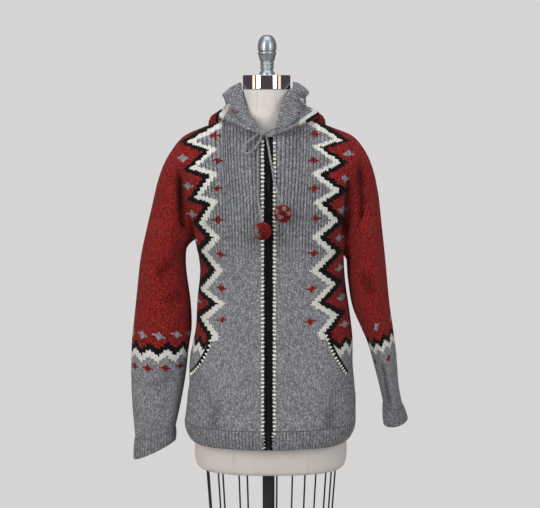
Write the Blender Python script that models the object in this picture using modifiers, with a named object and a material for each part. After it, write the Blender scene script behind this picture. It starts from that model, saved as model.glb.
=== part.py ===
"""Hooded hand-knit zip cardigan worn by a limbless dress form on a stand.

Metres, +Z up, front towards -Y, origin at the middle of the base's underside.
Right and left are the wearer's: right is towards -X.
Each knitted panel is a closed wall lofted through its rows, with its ribs raised on the outer face.
"""

import math

import bmesh
import bpy
import numpy as np
from mathutils import Vector

# Cloth
CLOTH = 0.003
SEAM_GAP = 0.0003
RIB_HEIGHT = 0.0012
UP = np.array([0.0, 0.0, 1.0])
FORWARD = np.array([0.0, -1.0, 0.0])

# Body of the cardigan, measured on the outer face
HEM_Z = 0.680
HEM_SEAM_Z = 0.722
UNDERARM_Z = 1.1005
UNDERARM_LEAN = 0.0175
FRONT_COLUMNS = 26
FRONT_NECK_COLUMNS = 10
BACK_COLUMNS = 24
BACK_SHOULDER_COLUMNS = 8
LOWER_ROWS = 6
UPPER_ROWS = 8
ARMHOLE_DEPTH = 0.058
# How far a column leans out and down where it reaches the shoulder and the neck
OVER_SHOULDER = (0.084, 0.006)
UP_NECK = (0.028, 0.080)
CHEST_RISE = 0.40
# Shares of the way to the armhole over which one course gives way to the next
NECK_BLEND = (0.22, 0.42)
ARM_BLEND = (0.60, 1.00)
LOW_ARM_BLEND = (0.80, 1.00)
# Shares of the rows over which a front's ribs rise
RIB_BLEND = (0.36, 0.54)

# height, reach to the right, reach to the left, front depth, back depth, squareness
BODY_SECTIONS = [
    (0.680, 0.1755, 0.1800, 0.126, 0.112, 2.6),
    (0.700, 0.1820, 0.1880, 0.127, 0.112, 2.6),
    (0.722, 0.1845, 0.1925, 0.127, 0.112, 2.6),
    (0.750, 0.1785, 0.1955, 0.126, 0.111, 2.6),
    (0.810, 0.1745, 0.1855, 0.125, 0.108, 2.5),
    (0.872, 0.1715, 0.1865, 0.123, 0.105, 2.5),
    (0.905, 0.1630, 0.1845, 0.122, 0.103, 2.5),
    (1.000, 0.1550, 0.1720, 0.121, 0.100, 2.4),
    (1.060, 0.1500, 0.1640, 0.122, 0.101, 2.4),
    (1.120, 0.1600, 0.1660, 0.124, 0.103, 2.4),
]

# Neckline from the zip to the neck point, as x, y, z of the left side
FRONT_NECKLINE = [
    (0.0098, -0.0850, 1.3430),
    (0.0387, -0.0750, 1.3540),
    (0.0645, -0.0520, 1.3640),
    (0.0864, -0.0270, 1.3725),
    (0.1000, 0.0, 1.3770),
]
BACK_NECKLINE = [
    (0.1000, 0.0, 1.3770),
    (0.0930, 0.0250, 1.3830),
    (0.0740, 0.0480, 1.3890),
    (0.0430, 0.0650, 1.3940),
    (0.0, 0.0700, 1.3960),
]
# Shoulder line from the neck point to the dropped seam on the upper arm, as x and z
RIGHT_SHOULDER = [
    (0.1000, 1.3770),
    (0.1280, 1.3655),
    (0.1560, 1.3545),
    (0.1820, 1.3420),
    (0.2085, 1.3120),
    (0.2285, 1.2770),
    (0.2420, 1.2380),
]
LEFT_SHOULDER = [
    (0.1000, 1.3770),
    (0.1240, 1.3655),
    (0.1540, 1.3540),
    (0.1800, 1.3430),
    (0.2020, 1.3200),
    (0.2190, 1.2900),
    (0.2310, 1.2540),
]

# Sleeve rings: outer x and z, inner x and z, middle y, half depth
RIGHT_SLEEVE = [
    (-0.2540, 1.1880, -0.1740, 1.1050, 0.000, 0.062),
    (-0.2651, 1.1419, -0.1800, 1.0900, -0.002, 0.065),
    (-0.2791, 1.0780, -0.1798, 1.0492, -0.004, 0.066),
    (-0.2879, 1.0047, -0.1712, 0.9824, -0.006, 0.064),
    (-0.2969, 0.9264, -0.1690, 0.9264, -0.008, 0.060),
    (-0.3015, 0.8814, -0.1755, 0.8791, -0.010, 0.057),
    (-0.3030, 0.8202, -0.1832, 0.8157, -0.012, 0.051),
    (-0.3018, 0.7564, -0.1950, 0.7518, -0.014, 0.043),
    (-0.2960, 0.6760, -0.2067, 0.6998, -0.015, 0.034),
]
RIGHT_CUFF = [
    (-0.2960, 0.6760, -0.2067, 0.6998, -0.015, 0.034),
    (-0.2994, 0.6280, -0.2070, 0.6710, -0.016, 0.032),
]
LEFT_SLEEVE = [
    (0.2390, 1.2120, 0.1705, 1.0720, 0.000, 0.064),
    (0.2463, 1.1485, 0.1715, 1.0580, -0.003, 0.069),
    (0.2538, 1.0824, 0.1740, 1.0290, -0.006, 0.073),
    (0.2641, 0.9824, 0.1837, 0.9712, -0.010, 0.075),
    (0.2724, 0.9264, 0.2031, 0.9242, -0.013, 0.073),
    (0.2798, 0.8723, 0.2199, 0.8836, -0.015, 0.069),
    (0.2862, 0.7998, 0.2431, 0.7998, -0.018, 0.060),
    (0.2948, 0.7541, 0.2537, 0.7541, -0.020, 0.050),
]
LEFT_CUFF = [
    (0.2948, 0.7541, 0.2537, 0.7541, -0.020, 0.050),
    (0.3066, 0.7230, 0.2555, 0.7080, -0.021, 0.046),
]
CUFF_RIBS = 20
HEM_RIBS = 80

# Hood laid back, as x, y, z with x away from the middle; the share runs from the zip round to the
# back's middle. Share, lower fold, outermost, tuck under the flap, face fold, face edge
RIGHT_HOOD = [
    (0.00, (0.0120, -0.0900, 1.3460), (0.0140, -0.0920, 1.3490), (0.0145, -0.0920, 1.3505),
     (0.0150, -0.0925, 1.3530), (0.0140, -0.0880, 1.3580)),
    (0.16, (0.0440, -0.0840, 1.3580), (0.0450, -0.0860, 1.3620), (0.0425, -0.0855, 1.3655),
     (0.0430, -0.0890, 1.3710), (0.0290, -0.0740, 1.3780)),
    (0.30, (0.0700, -0.0590, 1.3690), (0.0730, -0.0600, 1.3750), (0.0650, -0.0570, 1.3800),
     (0.0670, -0.0620, 1.3890), (0.0455, -0.0500, 1.4000)),
    (0.42, (0.0920, -0.0280, 1.3760), (0.0950, -0.0270, 1.3840), (0.0800, -0.0190, 1.3970),
     (0.0860, -0.0280, 1.4110), (0.0560, -0.0230, 1.4340)),
    (0.52, (0.1100, 0.0120, 1.3790), (0.1170, 0.0200, 1.3880), (0.0860, 0.0200, 1.4070),
     (0.0985, 0.0060, 1.4310), (0.0600, 0.0060, 1.4550)),
    (0.62, (0.1230, 0.0600, 1.3480), (0.1330, 0.0720, 1.3760), (0.0930, 0.0610, 1.4040),
     (0.1000, 0.0470, 1.4280), (0.0620, 0.0360, 1.4550)),
    (0.75, (0.1150, 0.1230, 1.2980), (0.1220, 0.1400, 1.3380), (0.0920, 0.1130, 1.3930),
     (0.0880, 0.0980, 1.4120), (0.0590, 0.0700, 1.4380)),
    (0.88, (0.0700, 0.1520, 1.2620), (0.0700, 0.1740, 1.3080), (0.0560, 0.1480, 1.3820),
     (0.0520, 0.1340, 1.4020), (0.0350, 0.0980, 1.4260)),
    (1.00, (0.0, 0.1600, 1.2500), (0.0, 0.1830, 1.2980), (0.0, 0.1560, 1.3790),
     (0.0, 0.1420, 1.3990), (0.0, 0.1070, 1.4230)),
]
LEFT_HOOD = [
    (0.00, (0.0120, -0.0900, 1.3460), (0.0140, -0.0920, 1.3490), (0.0148, -0.0925, 1.3510),
     (0.0150, -0.0925, 1.3530), (0.0130, -0.0885, 1.3580)),
    (0.16, (0.0440, -0.0840, 1.3580), (0.0450, -0.0860, 1.3620), (0.0425, -0.0855, 1.3655),
     (0.0430, -0.0895, 1.3710), (0.0190, -0.0800, 1.3800)),
    (0.30, (0.0700, -0.0590, 1.3690), (0.0730, -0.0600, 1.3750), (0.0640, -0.0570, 1.3800),
     (0.0655, -0.0630, 1.3890), (0.0265, -0.0680, 1.4040)),
    (0.42, (0.0920, -0.0280, 1.3760), (0.0940, -0.0270, 1.3840), (0.0700, -0.0220, 1.3970),
     (0.0715, -0.0320, 1.4110), (0.0400, -0.0480, 1.4300)),
    (0.47, (0.1005, -0.0080, 1.3780), (0.1050, -0.0040, 1.3870), (0.0710, -0.0030, 1.4050),
     (0.0790, -0.0160, 1.4270), (0.0490, -0.0270, 1.4430)),
    (0.52, (0.1080, 0.0120, 1.3790), (0.1130, 0.0200, 1.3880), (0.0720, 0.0170, 1.4110),
     (0.0895, -0.0020, 1.4400), (0.0560, -0.0020, 1.4530)),
    (0.57, (0.1150, 0.0360, 1.3640), (0.1200, 0.0460, 1.3830), (0.0740, 0.0390, 1.4130),
     (0.0800, 0.0240, 1.4460), (0.0565, 0.0200, 1.4570)),
    (0.62, (0.1180, 0.0600, 1.3480), (0.1255, 0.0720, 1.3760), (0.0790, 0.0620, 1.4080),
     (0.0765, 0.0470, 1.4420), (0.0550, 0.0380, 1.4570)),
    (0.75, (0.1150, 0.1230, 1.2980), (0.1200, 0.1400, 1.3380), (0.0850, 0.1130, 1.3930),
     (0.0820, 0.0970, 1.4160), (0.0560, 0.0700, 1.4420)),
    (0.88, (0.0700, 0.1520, 1.2620), (0.0700, 0.1740, 1.3080), (0.0560, 0.1480, 1.3820),
     (0.0520, 0.1340, 1.4020), (0.0350, 0.0980, 1.4260)),
    (1.00, (0.0, 0.1600, 1.2500), (0.0, 0.1830, 1.2980), (0.0, 0.1560, 1.3790),
     (0.0, 0.1420, 1.3990), (0.0, 0.1070, 1.4230)),
]
HOOD_ROWS = 8
BAND_ROWS = 2
BAND_SPLIT = 3
FOLD_GAP = 0.0010

# Zip
ZIP_BAND_INSIDE = 0.0015
ZIP_BAND_OUTSIDE = 0.0095
CHAIN_HALF = 0.0012
SLIDER_Z = 1.2520
BRIDGE_HALF = 0.0012
PLATE_HALF = 0.0043
PLATE_FRONT = 0.0018
PLATE_BACK = 0.0044
PLATE_LOW = -0.0075
PLATE_HIGH = 0.0065
PLATE_INSET = 0.0001
# The slider seen from the side, as y and z from the tab's bar; the slot leaves the bar room to turn
SLIDER_OUTLINE = [
    (PLATE_BACK, PLATE_LOW), (PLATE_FRONT, PLATE_LOW), (PLATE_FRONT, -0.0046),
    (-0.0006, -0.0046), (-0.0021, -0.0032), (-0.0021, 0.0032),
    (-0.0006, 0.0046), (PLATE_FRONT, 0.0046), (PLATE_FRONT, PLATE_HIGH), (PLATE_BACK, PLATE_HIGH),
]
SLIDER_SLOT = [
    (PLATE_FRONT, -0.0032), (-0.0004, -0.0032), (-0.0011, -0.0022),
    (-0.0011, 0.0022), (-0.0004, 0.0032), (PLATE_FRONT, 0.0032),
]
TAB_LENGTH = 0.018
TAB_BAR = 0.0007
TAB_OFF_CHAIN = 0.0046
TAB_WINDOW_HALF = 0.0019
TAB_WINDOW_BOTTOM = -0.0056
# The tab's left side from top to bottom, as x and y before it is stood up
TAB_SIDE = [
    (0.0032, TAB_BAR), (0.0032, -0.0060), (0.0024, -0.0085), (0.0024, -TAB_LENGTH + 0.001),
    (0.0014, -TAB_LENGTH),
]

# Pocket edges on the fronts, as shares across and up the lower front
POCKET_EDGE_WIDTH = 0.0085
POCKET_EDGE_CLOTH = 0.0021
POCKET_EDGE_LIFT = 0.0010
POCKET_EDGE_POINTS = 9
RIGHT_POCKET = [
    (0.550, 0.492), (0.550, 0.465), (0.564, 0.430), (0.592, 0.393), (0.632, 0.354), (0.700, 0.310),
    (0.789, 0.275),
]
LEFT_POCKET = [
    (0.490, 0.562), (0.503, 0.533), (0.519, 0.498), (0.545, 0.460), (0.582, 0.420), (0.628, 0.378),
    (0.708, 0.312),
]

# Drawstring, as x and z; its y follows the chest
CHEST_HALF = 0.160
CHEST_SQUARENESS = 2.4
CORD_DIAMETER = 0.005
KNOT = (-0.0135, 1.3510)
KNOT_RADIUS = 0.0062
KNOT_OFF_CLOTH = 0.0085
CORD_OFF_CLOTH = 0.0024
CORD_OFF_KNOT = 0.0005
CORD_LIFT_AT_POMPOM = 0.6
CORD_STEP = 0.011
BEND_STEP = 0.008
RIGHT_CORD = [
    (-0.0155, 1.3430), (-0.0205, 1.3290), (-0.0222, 1.3110), (-0.0222, 1.2830), (-0.0222, 1.2520),
    (-0.0210, 1.2080), (-0.0165, 1.1880), (-0.0130, 1.1720),
]
LEFT_CORD = [
    (-0.0060, 1.3450), (-0.0016, 1.3300), (0.0030, 1.3030), (0.0088, 1.2740),
    (0.0120, 1.2520), (0.0180, 1.2330), (0.0290, 1.2070),
]
# The bow's loop and the tie to the left of the knot, as x, z and how far they stand off the cloth
BOW = [
    (-0.0210, 1.3490, 0.0060), (-0.0330, 1.3410, 0.0040), (-0.0460, 1.3300, 0.0020),
    (-0.0530, 1.3190, 0.0010), (-0.0505, 1.3110, 0.0010), (-0.0400, 1.3110, 0.0030),
    (-0.0290, 1.3190, 0.0065), (-0.0215, 1.3300, 0.0085), (-0.0160, 1.3400, 0.0115),
]
TIE = [
    (-0.0070, 1.3530, 0.0075), (0.0020, 1.3560, 0.0080), (0.0110, 1.3600, 0.0080),
    (0.0170, 1.3640, 0.0080),
]
POMPOM_RADIUS = 0.018
POMPOM_CORE = 0.012
POMPOM_OFF_CLOTH = 0.0025
RIGHT_POMPOM = (-0.0128, 1.1520)
LEFT_POMPOM = (0.0295, 1.1880)

# Dress form: height, middle x, half width, front depth, back depth, squareness
TORSO_SECTIONS = [
    (0.6120, 0.005, 0.1600, 0.092, 0.092, 2.6),
    (0.6200, 0.005, 0.1660, 0.098, 0.097, 2.6),
    (0.6400, 0.005, 0.1690, 0.101, 0.099, 2.6),
    (0.6800, 0.005, 0.1680, 0.102, 0.100, 2.5),
    (0.7600, 0.003, 0.1620, 0.101, 0.096, 2.4),
    (0.8400, 0.002, 0.1450, 0.094, 0.086, 2.3),
    (0.9200, 0.001, 0.1240, 0.086, 0.077, 2.2),
    (1.0000, 0.0, 0.1270, 0.093, 0.079, 2.2),
    (1.0800, 0.0, 0.1400, 0.107, 0.084, 2.2),
    (1.1400, 0.0, 0.1460, 0.104, 0.084, 2.1),
    (1.2200, 0.0, 0.1560, 0.091, 0.080, 2.0),
    (1.2900, 0.0, 0.1680, 0.071, 0.063, 1.7),
    (1.3200, 0.0, 0.1720, 0.064, 0.054, 1.5),
    (1.3350, 0.0, 0.1680, 0.060, 0.049, 1.4),
    (1.3480, -0.001, 0.1490, 0.057, 0.046, 1.4),
    (1.3590, -0.002, 0.1200, 0.056, 0.045, 1.4),
    (1.3690, -0.003, 0.0900, 0.055, 0.047, 1.6),
    (1.3850, -0.004, 0.0640, 0.054, 0.051, 2.0),
    (1.4050, -0.004, 0.0540, 0.0515, 0.051, 2.0),
    (1.4412, -0.004, 0.0510, 0.0500, 0.051, 2.0),
]
TORSO_SIDES = 28
NECK_X = -0.004
CAP_RADIUS = 0.051
CAP_BOTTOM = 1.4415
CAP_TOP = 1.4715
FINIAL_BOTTOM = 1.4718
# radius and height of the turned finial above the cap
FINIAL_PROFILE = [
    (0.0, 0.0850), (0.0085, 0.0835), (0.0145, 0.0785), (0.0185, 0.0700), (0.0201, 0.0600),
    (0.0196, 0.0520), (0.0172, 0.0505), (0.0192, 0.0485), (0.0180, 0.0400), (0.0150, 0.0300),
    (0.0135, 0.0270), (0.0155, 0.0240), (0.0135, 0.0205), (0.0150, 0.0160), (0.0125, 0.0110),
    (0.0165, 0.0050), (0.0165, 0.0), (0.0, 0.0),
]

# Stand
POLE_RADIUS = 0.0135
BASE_RADIUS = 0.175
BASE_EDGE = 0.010
BASE_HUB_RADIUS = 0.030
BASE_TOP = 0.040
CAGE_WIRES = 14
CAGE_START = math.radians(-72)
CAGE_WIRE_RADIUS = 0.0019
CAGE_TOP = (0.146, 0.082)
CAGE_BOTTOM = (0.118, 0.072)
CAGE_MIDDLE_X = 0.005
CAGE_RING_Z = 0.200
CAGE_RING_WIRE = 0.003
CAGE_SPOKE_RADIUS = 0.0025
CAGE_WIRE_GAP = 0.0005
COLLAR_RADIUS = 0.022
COLLAR_HEIGHT = 0.024

COLOURS = {
    "grey_knit": ((0.245, 0.255, 0.285), 0.95, 0.0),
    "red_knit": ((0.300, 0.020, 0.018), 0.95, 0.0),
    "black_knit": ((0.010, 0.010, 0.012), 0.95, 0.0),
    "cream_knit": ((0.720, 0.690, 0.600), 0.95, 0.0),
    "zip_metal": ((0.030, 0.030, 0.033), 0.40, 0.9),
    "ivory_linen": ((0.720, 0.670, 0.600), 0.90, 0.0),
    "mirror_chrome": ((0.800, 0.800, 0.810), 0.06, 1.0),
    "silver_paint": ((0.360, 0.400, 0.430), 0.35, 0.6),
    "black_paint": ((0.012, 0.012, 0.013), 0.50, 0.0),
}


def clear_scene():
    for obj in list(bpy.data.objects):
        bpy.data.objects.remove(obj, do_unlink=True)


def make_materials():
    made = {}
    for name, (colour, roughness, metallic) in COLOURS.items():
        material = bpy.data.materials.new(name)
        material.use_nodes = True
        shader = material.node_tree.nodes["Principled BSDF"]
        shader.inputs["Base Color"].default_value = (*colour, 1.0)
        shader.inputs["Roughness"].default_value = roughness
        shader.inputs["Metallic"].default_value = metallic
        made[name] = material
    return made


def unit(vectors):
    """Vectors of length one, along the last axis."""
    vectors = np.asarray(vectors, float)
    length = np.linalg.norm(vectors, axis=-1, keepdims=True)
    return vectors / np.maximum(length, 1e-12)


def smooth_step(value):
    value = np.clip(value, 0.0, 1.0)
    return value * value * (3.0 - 2.0 * value)


def blend(value, span):
    """0 below a span, 1 above it and a smooth step between."""
    return smooth_step((value - span[0]) / (span[1] - span[0]))


def spline(points, shares, places=None):
    """Points of a Catmull-Rom curve through the given points, at shares of its length or of places."""
    points = np.asarray(points, float)
    if places is None:
        steps = np.linalg.norm(np.diff(points, axis=0), axis=1)
        places = np.concatenate([[0.0], np.cumsum(steps)]) / steps.sum()
    places = np.asarray(places, float)
    slopes = np.gradient(points, places, axis=0)
    found = []
    for share in np.atleast_1d(shares):
        i = int(np.clip(np.searchsorted(places, share) - 1, 0, len(points) - 2))
        gap = places[i + 1] - places[i]
        t = (share - places[i]) / gap
        first = (1 + 2 * t) * (1 - t) ** 2 * points[i] + t * (1 - t) ** 2 * gap * slopes[i]
        second = t * t * (3 - 2 * t) * points[i + 1] - t * t * (1 - t) * gap * slopes[i + 1]
        found.append(first + second)
    return np.array(found)


def section_point(half, depth, squareness, angle):
    """x and y of a superellipse; the angle runs from the front to the side."""
    across = abs(math.sin(angle)) ** (2.0 / squareness) * math.copysign(half, math.sin(angle))
    along = abs(math.cos(angle)) ** (2.0 / squareness) * math.copysign(depth, -math.cos(angle))
    return across, along


def body_section(z):
    """Reach right, reach left, front depth, back depth and squareness at a height."""
    table = np.array(BODY_SECTIONS)
    return spline(table[:, 1:], [z], table[:, 0])[0]


def body_point(angle, z):
    """A point of the lower body's outer face; the angle is 0 in front and 90 degrees at the left."""
    right, left, front, back, squareness = body_section(z)
    half = left if math.sin(angle) > 0 else right
    depth = front if math.cos(angle) > 0 else back
    x, y = section_point(half, depth, squareness, angle)
    return np.array([x, y, z])


def underarm_height(angle):
    return UNDERARM_Z - UNDERARM_LEAN * math.sin(angle)


def even_angles(z, first, last, count):
    """Angles that part the section between two angles into steps of equal length."""
    angles = np.linspace(first, last, 181)
    points = np.array([body_point(a, z) for a in angles])
    steps = np.linalg.norm(np.diff(points, axis=0), axis=1)
    length = np.concatenate([[0.0], np.cumsum(steps)])
    return np.interp(np.linspace(0.0, length[-1], count + 1), length, angles)


def zip_angle(z, side):
    """The angle at which the section reaches the outer edge of the zip band."""
    right, left, _, _, squareness = body_section(z)
    share = (ZIP_BAND_OUTSIDE + SEAM_GAP) / (left if side == "left" else right)
    return math.asin(share ** (squareness / 2.0))


def side_sign(side):
    return 1.0 if side == "left" else -1.0


def shoulder_curve(side):
    table = LEFT_SHOULDER if side == "left" else RIGHT_SHOULDER
    return [(side_sign(side) * x, 0.0, z) for x, z in table]


def mirrored(points, side):
    return [(side_sign(side) * x, y, z) for x, y, z in points]


def front_top(side):
    """The front's upper edge: neckline from the zip, then the shoulder line."""
    neck = spline(mirrored(FRONT_NECKLINE, side), np.linspace(0, 1, FRONT_NECK_COLUMNS + 1))
    shoulder = spline(
        shoulder_curve(side), np.linspace(0, 1, FRONT_COLUMNS - FRONT_NECK_COLUMNS + 1)
    )
    return np.concatenate([neck, shoulder[1:]])


def back_top():
    """The back's upper edge, from the right dropped seam over the neck to the left one."""
    steps = np.linspace(0, 1, BACK_SHOULDER_COLUMNS + 1)
    half_neck = np.linspace(0, 1, (BACK_COLUMNS - 2 * BACK_SHOULDER_COLUMNS) // 2 + 1)
    right = spline(shoulder_curve("right"), steps)[::-1]
    right_neck = spline(mirrored(BACK_NECKLINE, "right"), half_neck)
    left_neck = spline(mirrored(BACK_NECKLINE, "left"), half_neck)[::-1]
    left = spline(shoulder_curve("left"), steps)
    return np.concatenate([right, right_neck[1:], left_neck[1:], left[1:]])


def upper_column(bottom, top, toward, share):
    """One column from the underarm level to the upper edge, as a cubic with UPPER_ROWS steps.

    toward is FORWARD on a front and its opposite on the back. share runs from 0 at the middle to 1
    at the armhole, where the column is half of the armhole's oval.
    """
    near_neck = 1.0 - blend(share, NECK_BLEND)
    low_arm = blend(share, LOW_ARM_BLEND)
    near_arm = blend(share, ARM_BLEND)
    arm = toward * ARMHOLE_DEPTH * 4.0 / 3.0
    rise = UP * CHEST_RISE * (top[2] - bottom[2])
    leave = rise * (1.0 - low_arm) + arm * low_arm
    over_shoulder = toward * OVER_SHOULDER[0] - UP * OVER_SHOULDER[1]
    up_neck = toward * UP_NECK[0] - UP * UP_NECK[1]
    arrive = over_shoulder * (1.0 - near_neck) + up_neck * near_neck
    arrive = arrive * (1.0 - near_arm) + arm * near_arm
    t = np.linspace(0.0, 1.0, UPPER_ROWS + 1)[:, None]
    return (
        (1 - t) ** 3 * bottom
        + 3 * t * (1 - t) ** 2 * (bottom + leave)
        + 3 * t * t * (1 - t) * (top + arrive)
        + t**3 * top
    )


def body_grid(angles_of, columns, tops, toward, middle_shares):
    """A panel's points [column][row], from the hem seam to its upper edge."""
    grid = np.zeros((columns + 1, LOWER_ROWS + UPPER_ROWS + 1, 3))
    shares = np.linspace(0.0, 1.0, LOWER_ROWS + 1)
    top_angles = angles_of(UNDERARM_Z)
    for i in range(columns + 1):
        peak = underarm_height(top_angles[i])
        for j, share in enumerate(shares):
            z = HEM_SEAM_Z + share * (peak - HEM_SEAM_Z)
            grid[i, j] = body_point(angles_of(z)[i], z)
        grid[i, LOWER_ROWS:] = upper_column(
            grid[i, LOWER_ROWS], tops[i], toward, middle_shares[i]
        )
    return grid


def front_grid(side):
    sign = side_sign(side)
    cache = {}

    def angles_of(z):
        key = round(z, 6)
        if key not in cache:
            start = sign * zip_angle(z, side)
            cache[key] = even_angles(z, start, sign * math.pi / 2, FRONT_COLUMNS)
        return cache[key]

    shares = np.linspace(0.0, 1.0, FRONT_COLUMNS + 1)
    return body_grid(angles_of, FRONT_COLUMNS, front_top(side), FORWARD, shares)


def back_grid():
    cache = {}

    def angles_of(z):
        key = round(z, 6)
        if key not in cache:
            cache[key] = even_angles(z, -math.pi / 2, -3 * math.pi / 2, BACK_COLUMNS)
        return cache[key]

    shares = np.abs(np.linspace(-1.0, 1.0, BACK_COLUMNS + 1))
    return body_grid(angles_of, BACK_COLUMNS, back_top(), -FORWARD, shares)


def grid_normals(grid, turn=1.0, closed=False):
    """Unit normals of a grid of points [column][row]; turn is -1 where columns run the other way."""
    if closed:
        across = np.roll(grid, -1, axis=0) - np.roll(grid, 1, axis=0)
    else:
        across = np.gradient(grid, axis=0)
    up = np.gradient(grid, axis=1)
    return unit(turn * np.cross(across, up))


def flattened(normals, axis):
    """Normals with their part along an axis taken out."""
    axis = unit(axis)
    return unit(normals - (normals @ axis)[..., None] * axis)


def pull_in(grid, columns=(True, True), rows=(True, True), gap=SEAM_GAP):
    """The grid with its chosen edges moved in by half a seam gap."""
    grid = grid.copy()
    half = gap / 2.0
    for wanted, edge, beside in ((columns[0], 0, 1), (columns[1], -1, -2)):
        if wanted:
            grid[edge] += unit(grid[beside] - grid[edge]) * half
    for wanted, edge, beside in ((rows[0], 0, 1), (rows[1], -1, -2)):
        if wanted:
            grid[:, edge] += unit(grid[:, beside] - grid[:, edge]) * half
    return grid


def new_object(name, mesh, material):
    obj = bpy.data.objects.new(name, mesh)
    mesh.materials.append(MATERIALS[material])
    PARTS.objects.link(obj)
    return obj


def finish_mesh(name, bm, material, smooth=True):
    """An object from a bmesh, its faces pointing out."""
    bmesh.ops.recalc_face_normals(bm, faces=bm.faces)
    mesh = bpy.data.meshes.new(name)
    bm.to_mesh(mesh)
    bm.free()
    if smooth:
        mesh.shade_smooth()
        mesh.set_sharp_from_angle(angle=math.radians(50))
    return new_object(name, mesh, material)


def cloth_wall(name, grid, normals, material, raised=0.0, closed=False, thickness=CLOTH):
    """A closed wall: the outer face on the grid plus what is raised, the inner one plain."""
    columns, rows = grid.shape[:2]
    raised = np.broadcast_to(raised, (columns, rows))
    outer = grid + normals * raised[..., None]
    inner = grid - normals * thickness
    bm = bmesh.new()
    outside = [[bm.verts.new(p) for p in line] for line in outer]
    inside = [[bm.verts.new(p) for p in line] for line in inner]
    spans = range(columns if closed else columns - 1)
    for i in spans:
        k = (i + 1) % columns
        for j in range(rows - 1):
            bm.faces.new((outside[i][j], outside[k][j], outside[k][j + 1], outside[i][j + 1]))
            bm.faces.new((inside[i][j], inside[i][j + 1], inside[k][j + 1], inside[k][j]))
        for j in (0, rows - 1):
            rim_faces(bm, outside[i][j], outside[k][j], inside[k][j], inside[i][j])
    if not closed:
        for i in (0, columns - 1):
            for j in range(rows - 1):
                rim_faces(bm, outside[i][j], outside[i][j + 1], inside[i][j + 1], inside[i][j])
    return finish_mesh(name, bm, material)


def rim_faces(bm, outer_a, outer_b, inner_b, inner_a):
    """Two triangles over a rim, parted the same way on both pieces that meet at a seam."""
    order = Vector((0.61, 0.37, 1.0))
    if outer_a.co.dot(order) < outer_b.co.dot(order):
        bm.faces.new((outer_a, outer_b, inner_b))
        bm.faces.new((outer_a, inner_b, inner_a))
    else:
        bm.faces.new((outer_a, outer_b, inner_a))
        bm.faces.new((outer_b, inner_b, inner_a))


def loft(name, rings, material):
    """A closed solid through rings of equal count, with a flat face on each end."""
    bm = bmesh.new()
    made = [[bm.verts.new(p) for p in ring] for ring in rings]
    count = len(made[0])
    for low, high in zip(made, made[1:]):
        for i in range(count):
            k = (i + 1) % count
            bm.faces.new((low[i], low[k], high[k], high[i]))
    bm.faces.new(made[0])
    bm.faces.new(made[-1])
    return finish_mesh(name, bm, material)


def turned(name, profile, material, middle, steps=24):
    """A profile of radius and height turned about a vertical axis; it runs down its outer side."""
    mesh = bpy.data.meshes.new(name)
    points = [(radius, 0.0, height) for radius, height in profile]
    mesh.from_pydata(points, [(i, i + 1) for i in range(len(points) - 1)], [])
    obj = new_object(name, mesh, material)
    obj.location = middle
    screw = obj.modifiers.new("turn", "SCREW")
    screw.steps = steps
    screw.render_steps = steps
    screw.use_merge_vertices = True
    screw.merge_threshold = 0.00005
    screw.use_smooth_shade = True
    return obj


def rod(name, start, end, radius, material, sides=8):
    """A straight round rod between two points."""
    start = Vector(start)
    end = Vector(end)
    bm = bmesh.new()
    bmesh.ops.create_cone(
        bm, cap_ends=True, segments=sides, radius1=radius, radius2=radius,
        depth=(end - start).length,
    )
    obj = finish_mesh(name, bm, material)
    obj.rotation_mode = "QUATERNION"
    obj.rotation_quaternion = Vector((0, 0, 1)).rotation_difference(end - start)
    obj.location = (start + end) / 2
    return obj


def tube(name, route, diameter, material, spacing, resolution=2):
    """A cord's tube along a smooth curve through its route's points."""
    route = np.asarray(route, float)
    length = np.linalg.norm(np.diff(route, axis=0), axis=1).sum()
    count = max(4, int(round(length / spacing)))
    points = spline(route, np.linspace(0, 1, count + 1))
    curve = bpy.data.curves.new(name, "CURVE")
    curve.dimensions = "3D"
    curve.bevel_depth = diameter / 2
    curve.bevel_resolution = resolution
    curve.use_fill_caps = True
    line = curve.splines.new("POLY")
    line.points.add(len(points) - 1)
    for spot, place in zip(line.points, points):
        spot.co = (*place, 1.0)
    return new_object(name, curve, material)


def rib_pattern(columns):
    """1 on every other column, 0 between."""
    return (np.arange(columns) % 2).astype(float)


def shape_cardigan():
    """The points and normals of every panel, matched along their seams."""
    shape = {
        "front_right": front_grid("right"),
        "front_left": front_grid("left"),
        "back": back_grid(),
    }
    normals = {
        "front_right": grid_normals(shape["front_right"], -1.0),
        "front_left": grid_normals(shape["front_left"]),
        "back": grid_normals(shape["back"], -1.0),
    }
    for side in ("right", "left"):
        front = normals["front_" + side]
        front[0] = flattened(front[0], (1, 0, 0))
        front[:, 0] = flattened(front[:, 0], UP)
        front[FRONT_NECK_COLUMNS:, -1] = flattened(front[FRONT_NECK_COLUMNS:, -1], FORWARD)
        front[-1, :LOWER_ROWS] = flattened(front[-1, :LOWER_ROWS], FORWARD)
    back = normals["back"]
    back[:, 0] = flattened(back[:, 0], UP)
    shoulders = np.r_[0 : BACK_SHOULDER_COLUMNS + 1, -BACK_SHOULDER_COLUMNS - 1 : 0]
    back[shoulders, -1] = flattened(back[shoulders, -1], FORWARD)
    for edge in (0, -1):
        back[edge, :LOWER_ROWS] = flattened(back[edge, :LOWER_ROWS], FORWARD)
    return shape, normals


def sleeve_ring(row, columns):
    """Points round one sleeve ring, from its inner side over the front to the outer side and back."""
    outer_x, outer_z, inner_x, inner_z, middle_y, half_depth = row
    outer = np.array([outer_x, middle_y, outer_z])
    inner = np.array([inner_x, middle_y, inner_z])
    turns = np.linspace(0.0, 2.0 * math.pi, columns, endpoint=False)[:, None]
    across = (outer - inner) / 2.0
    return (outer + inner) / 2.0 - across * np.cos(turns) + FORWARD * half_depth * np.sin(turns)


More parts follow.
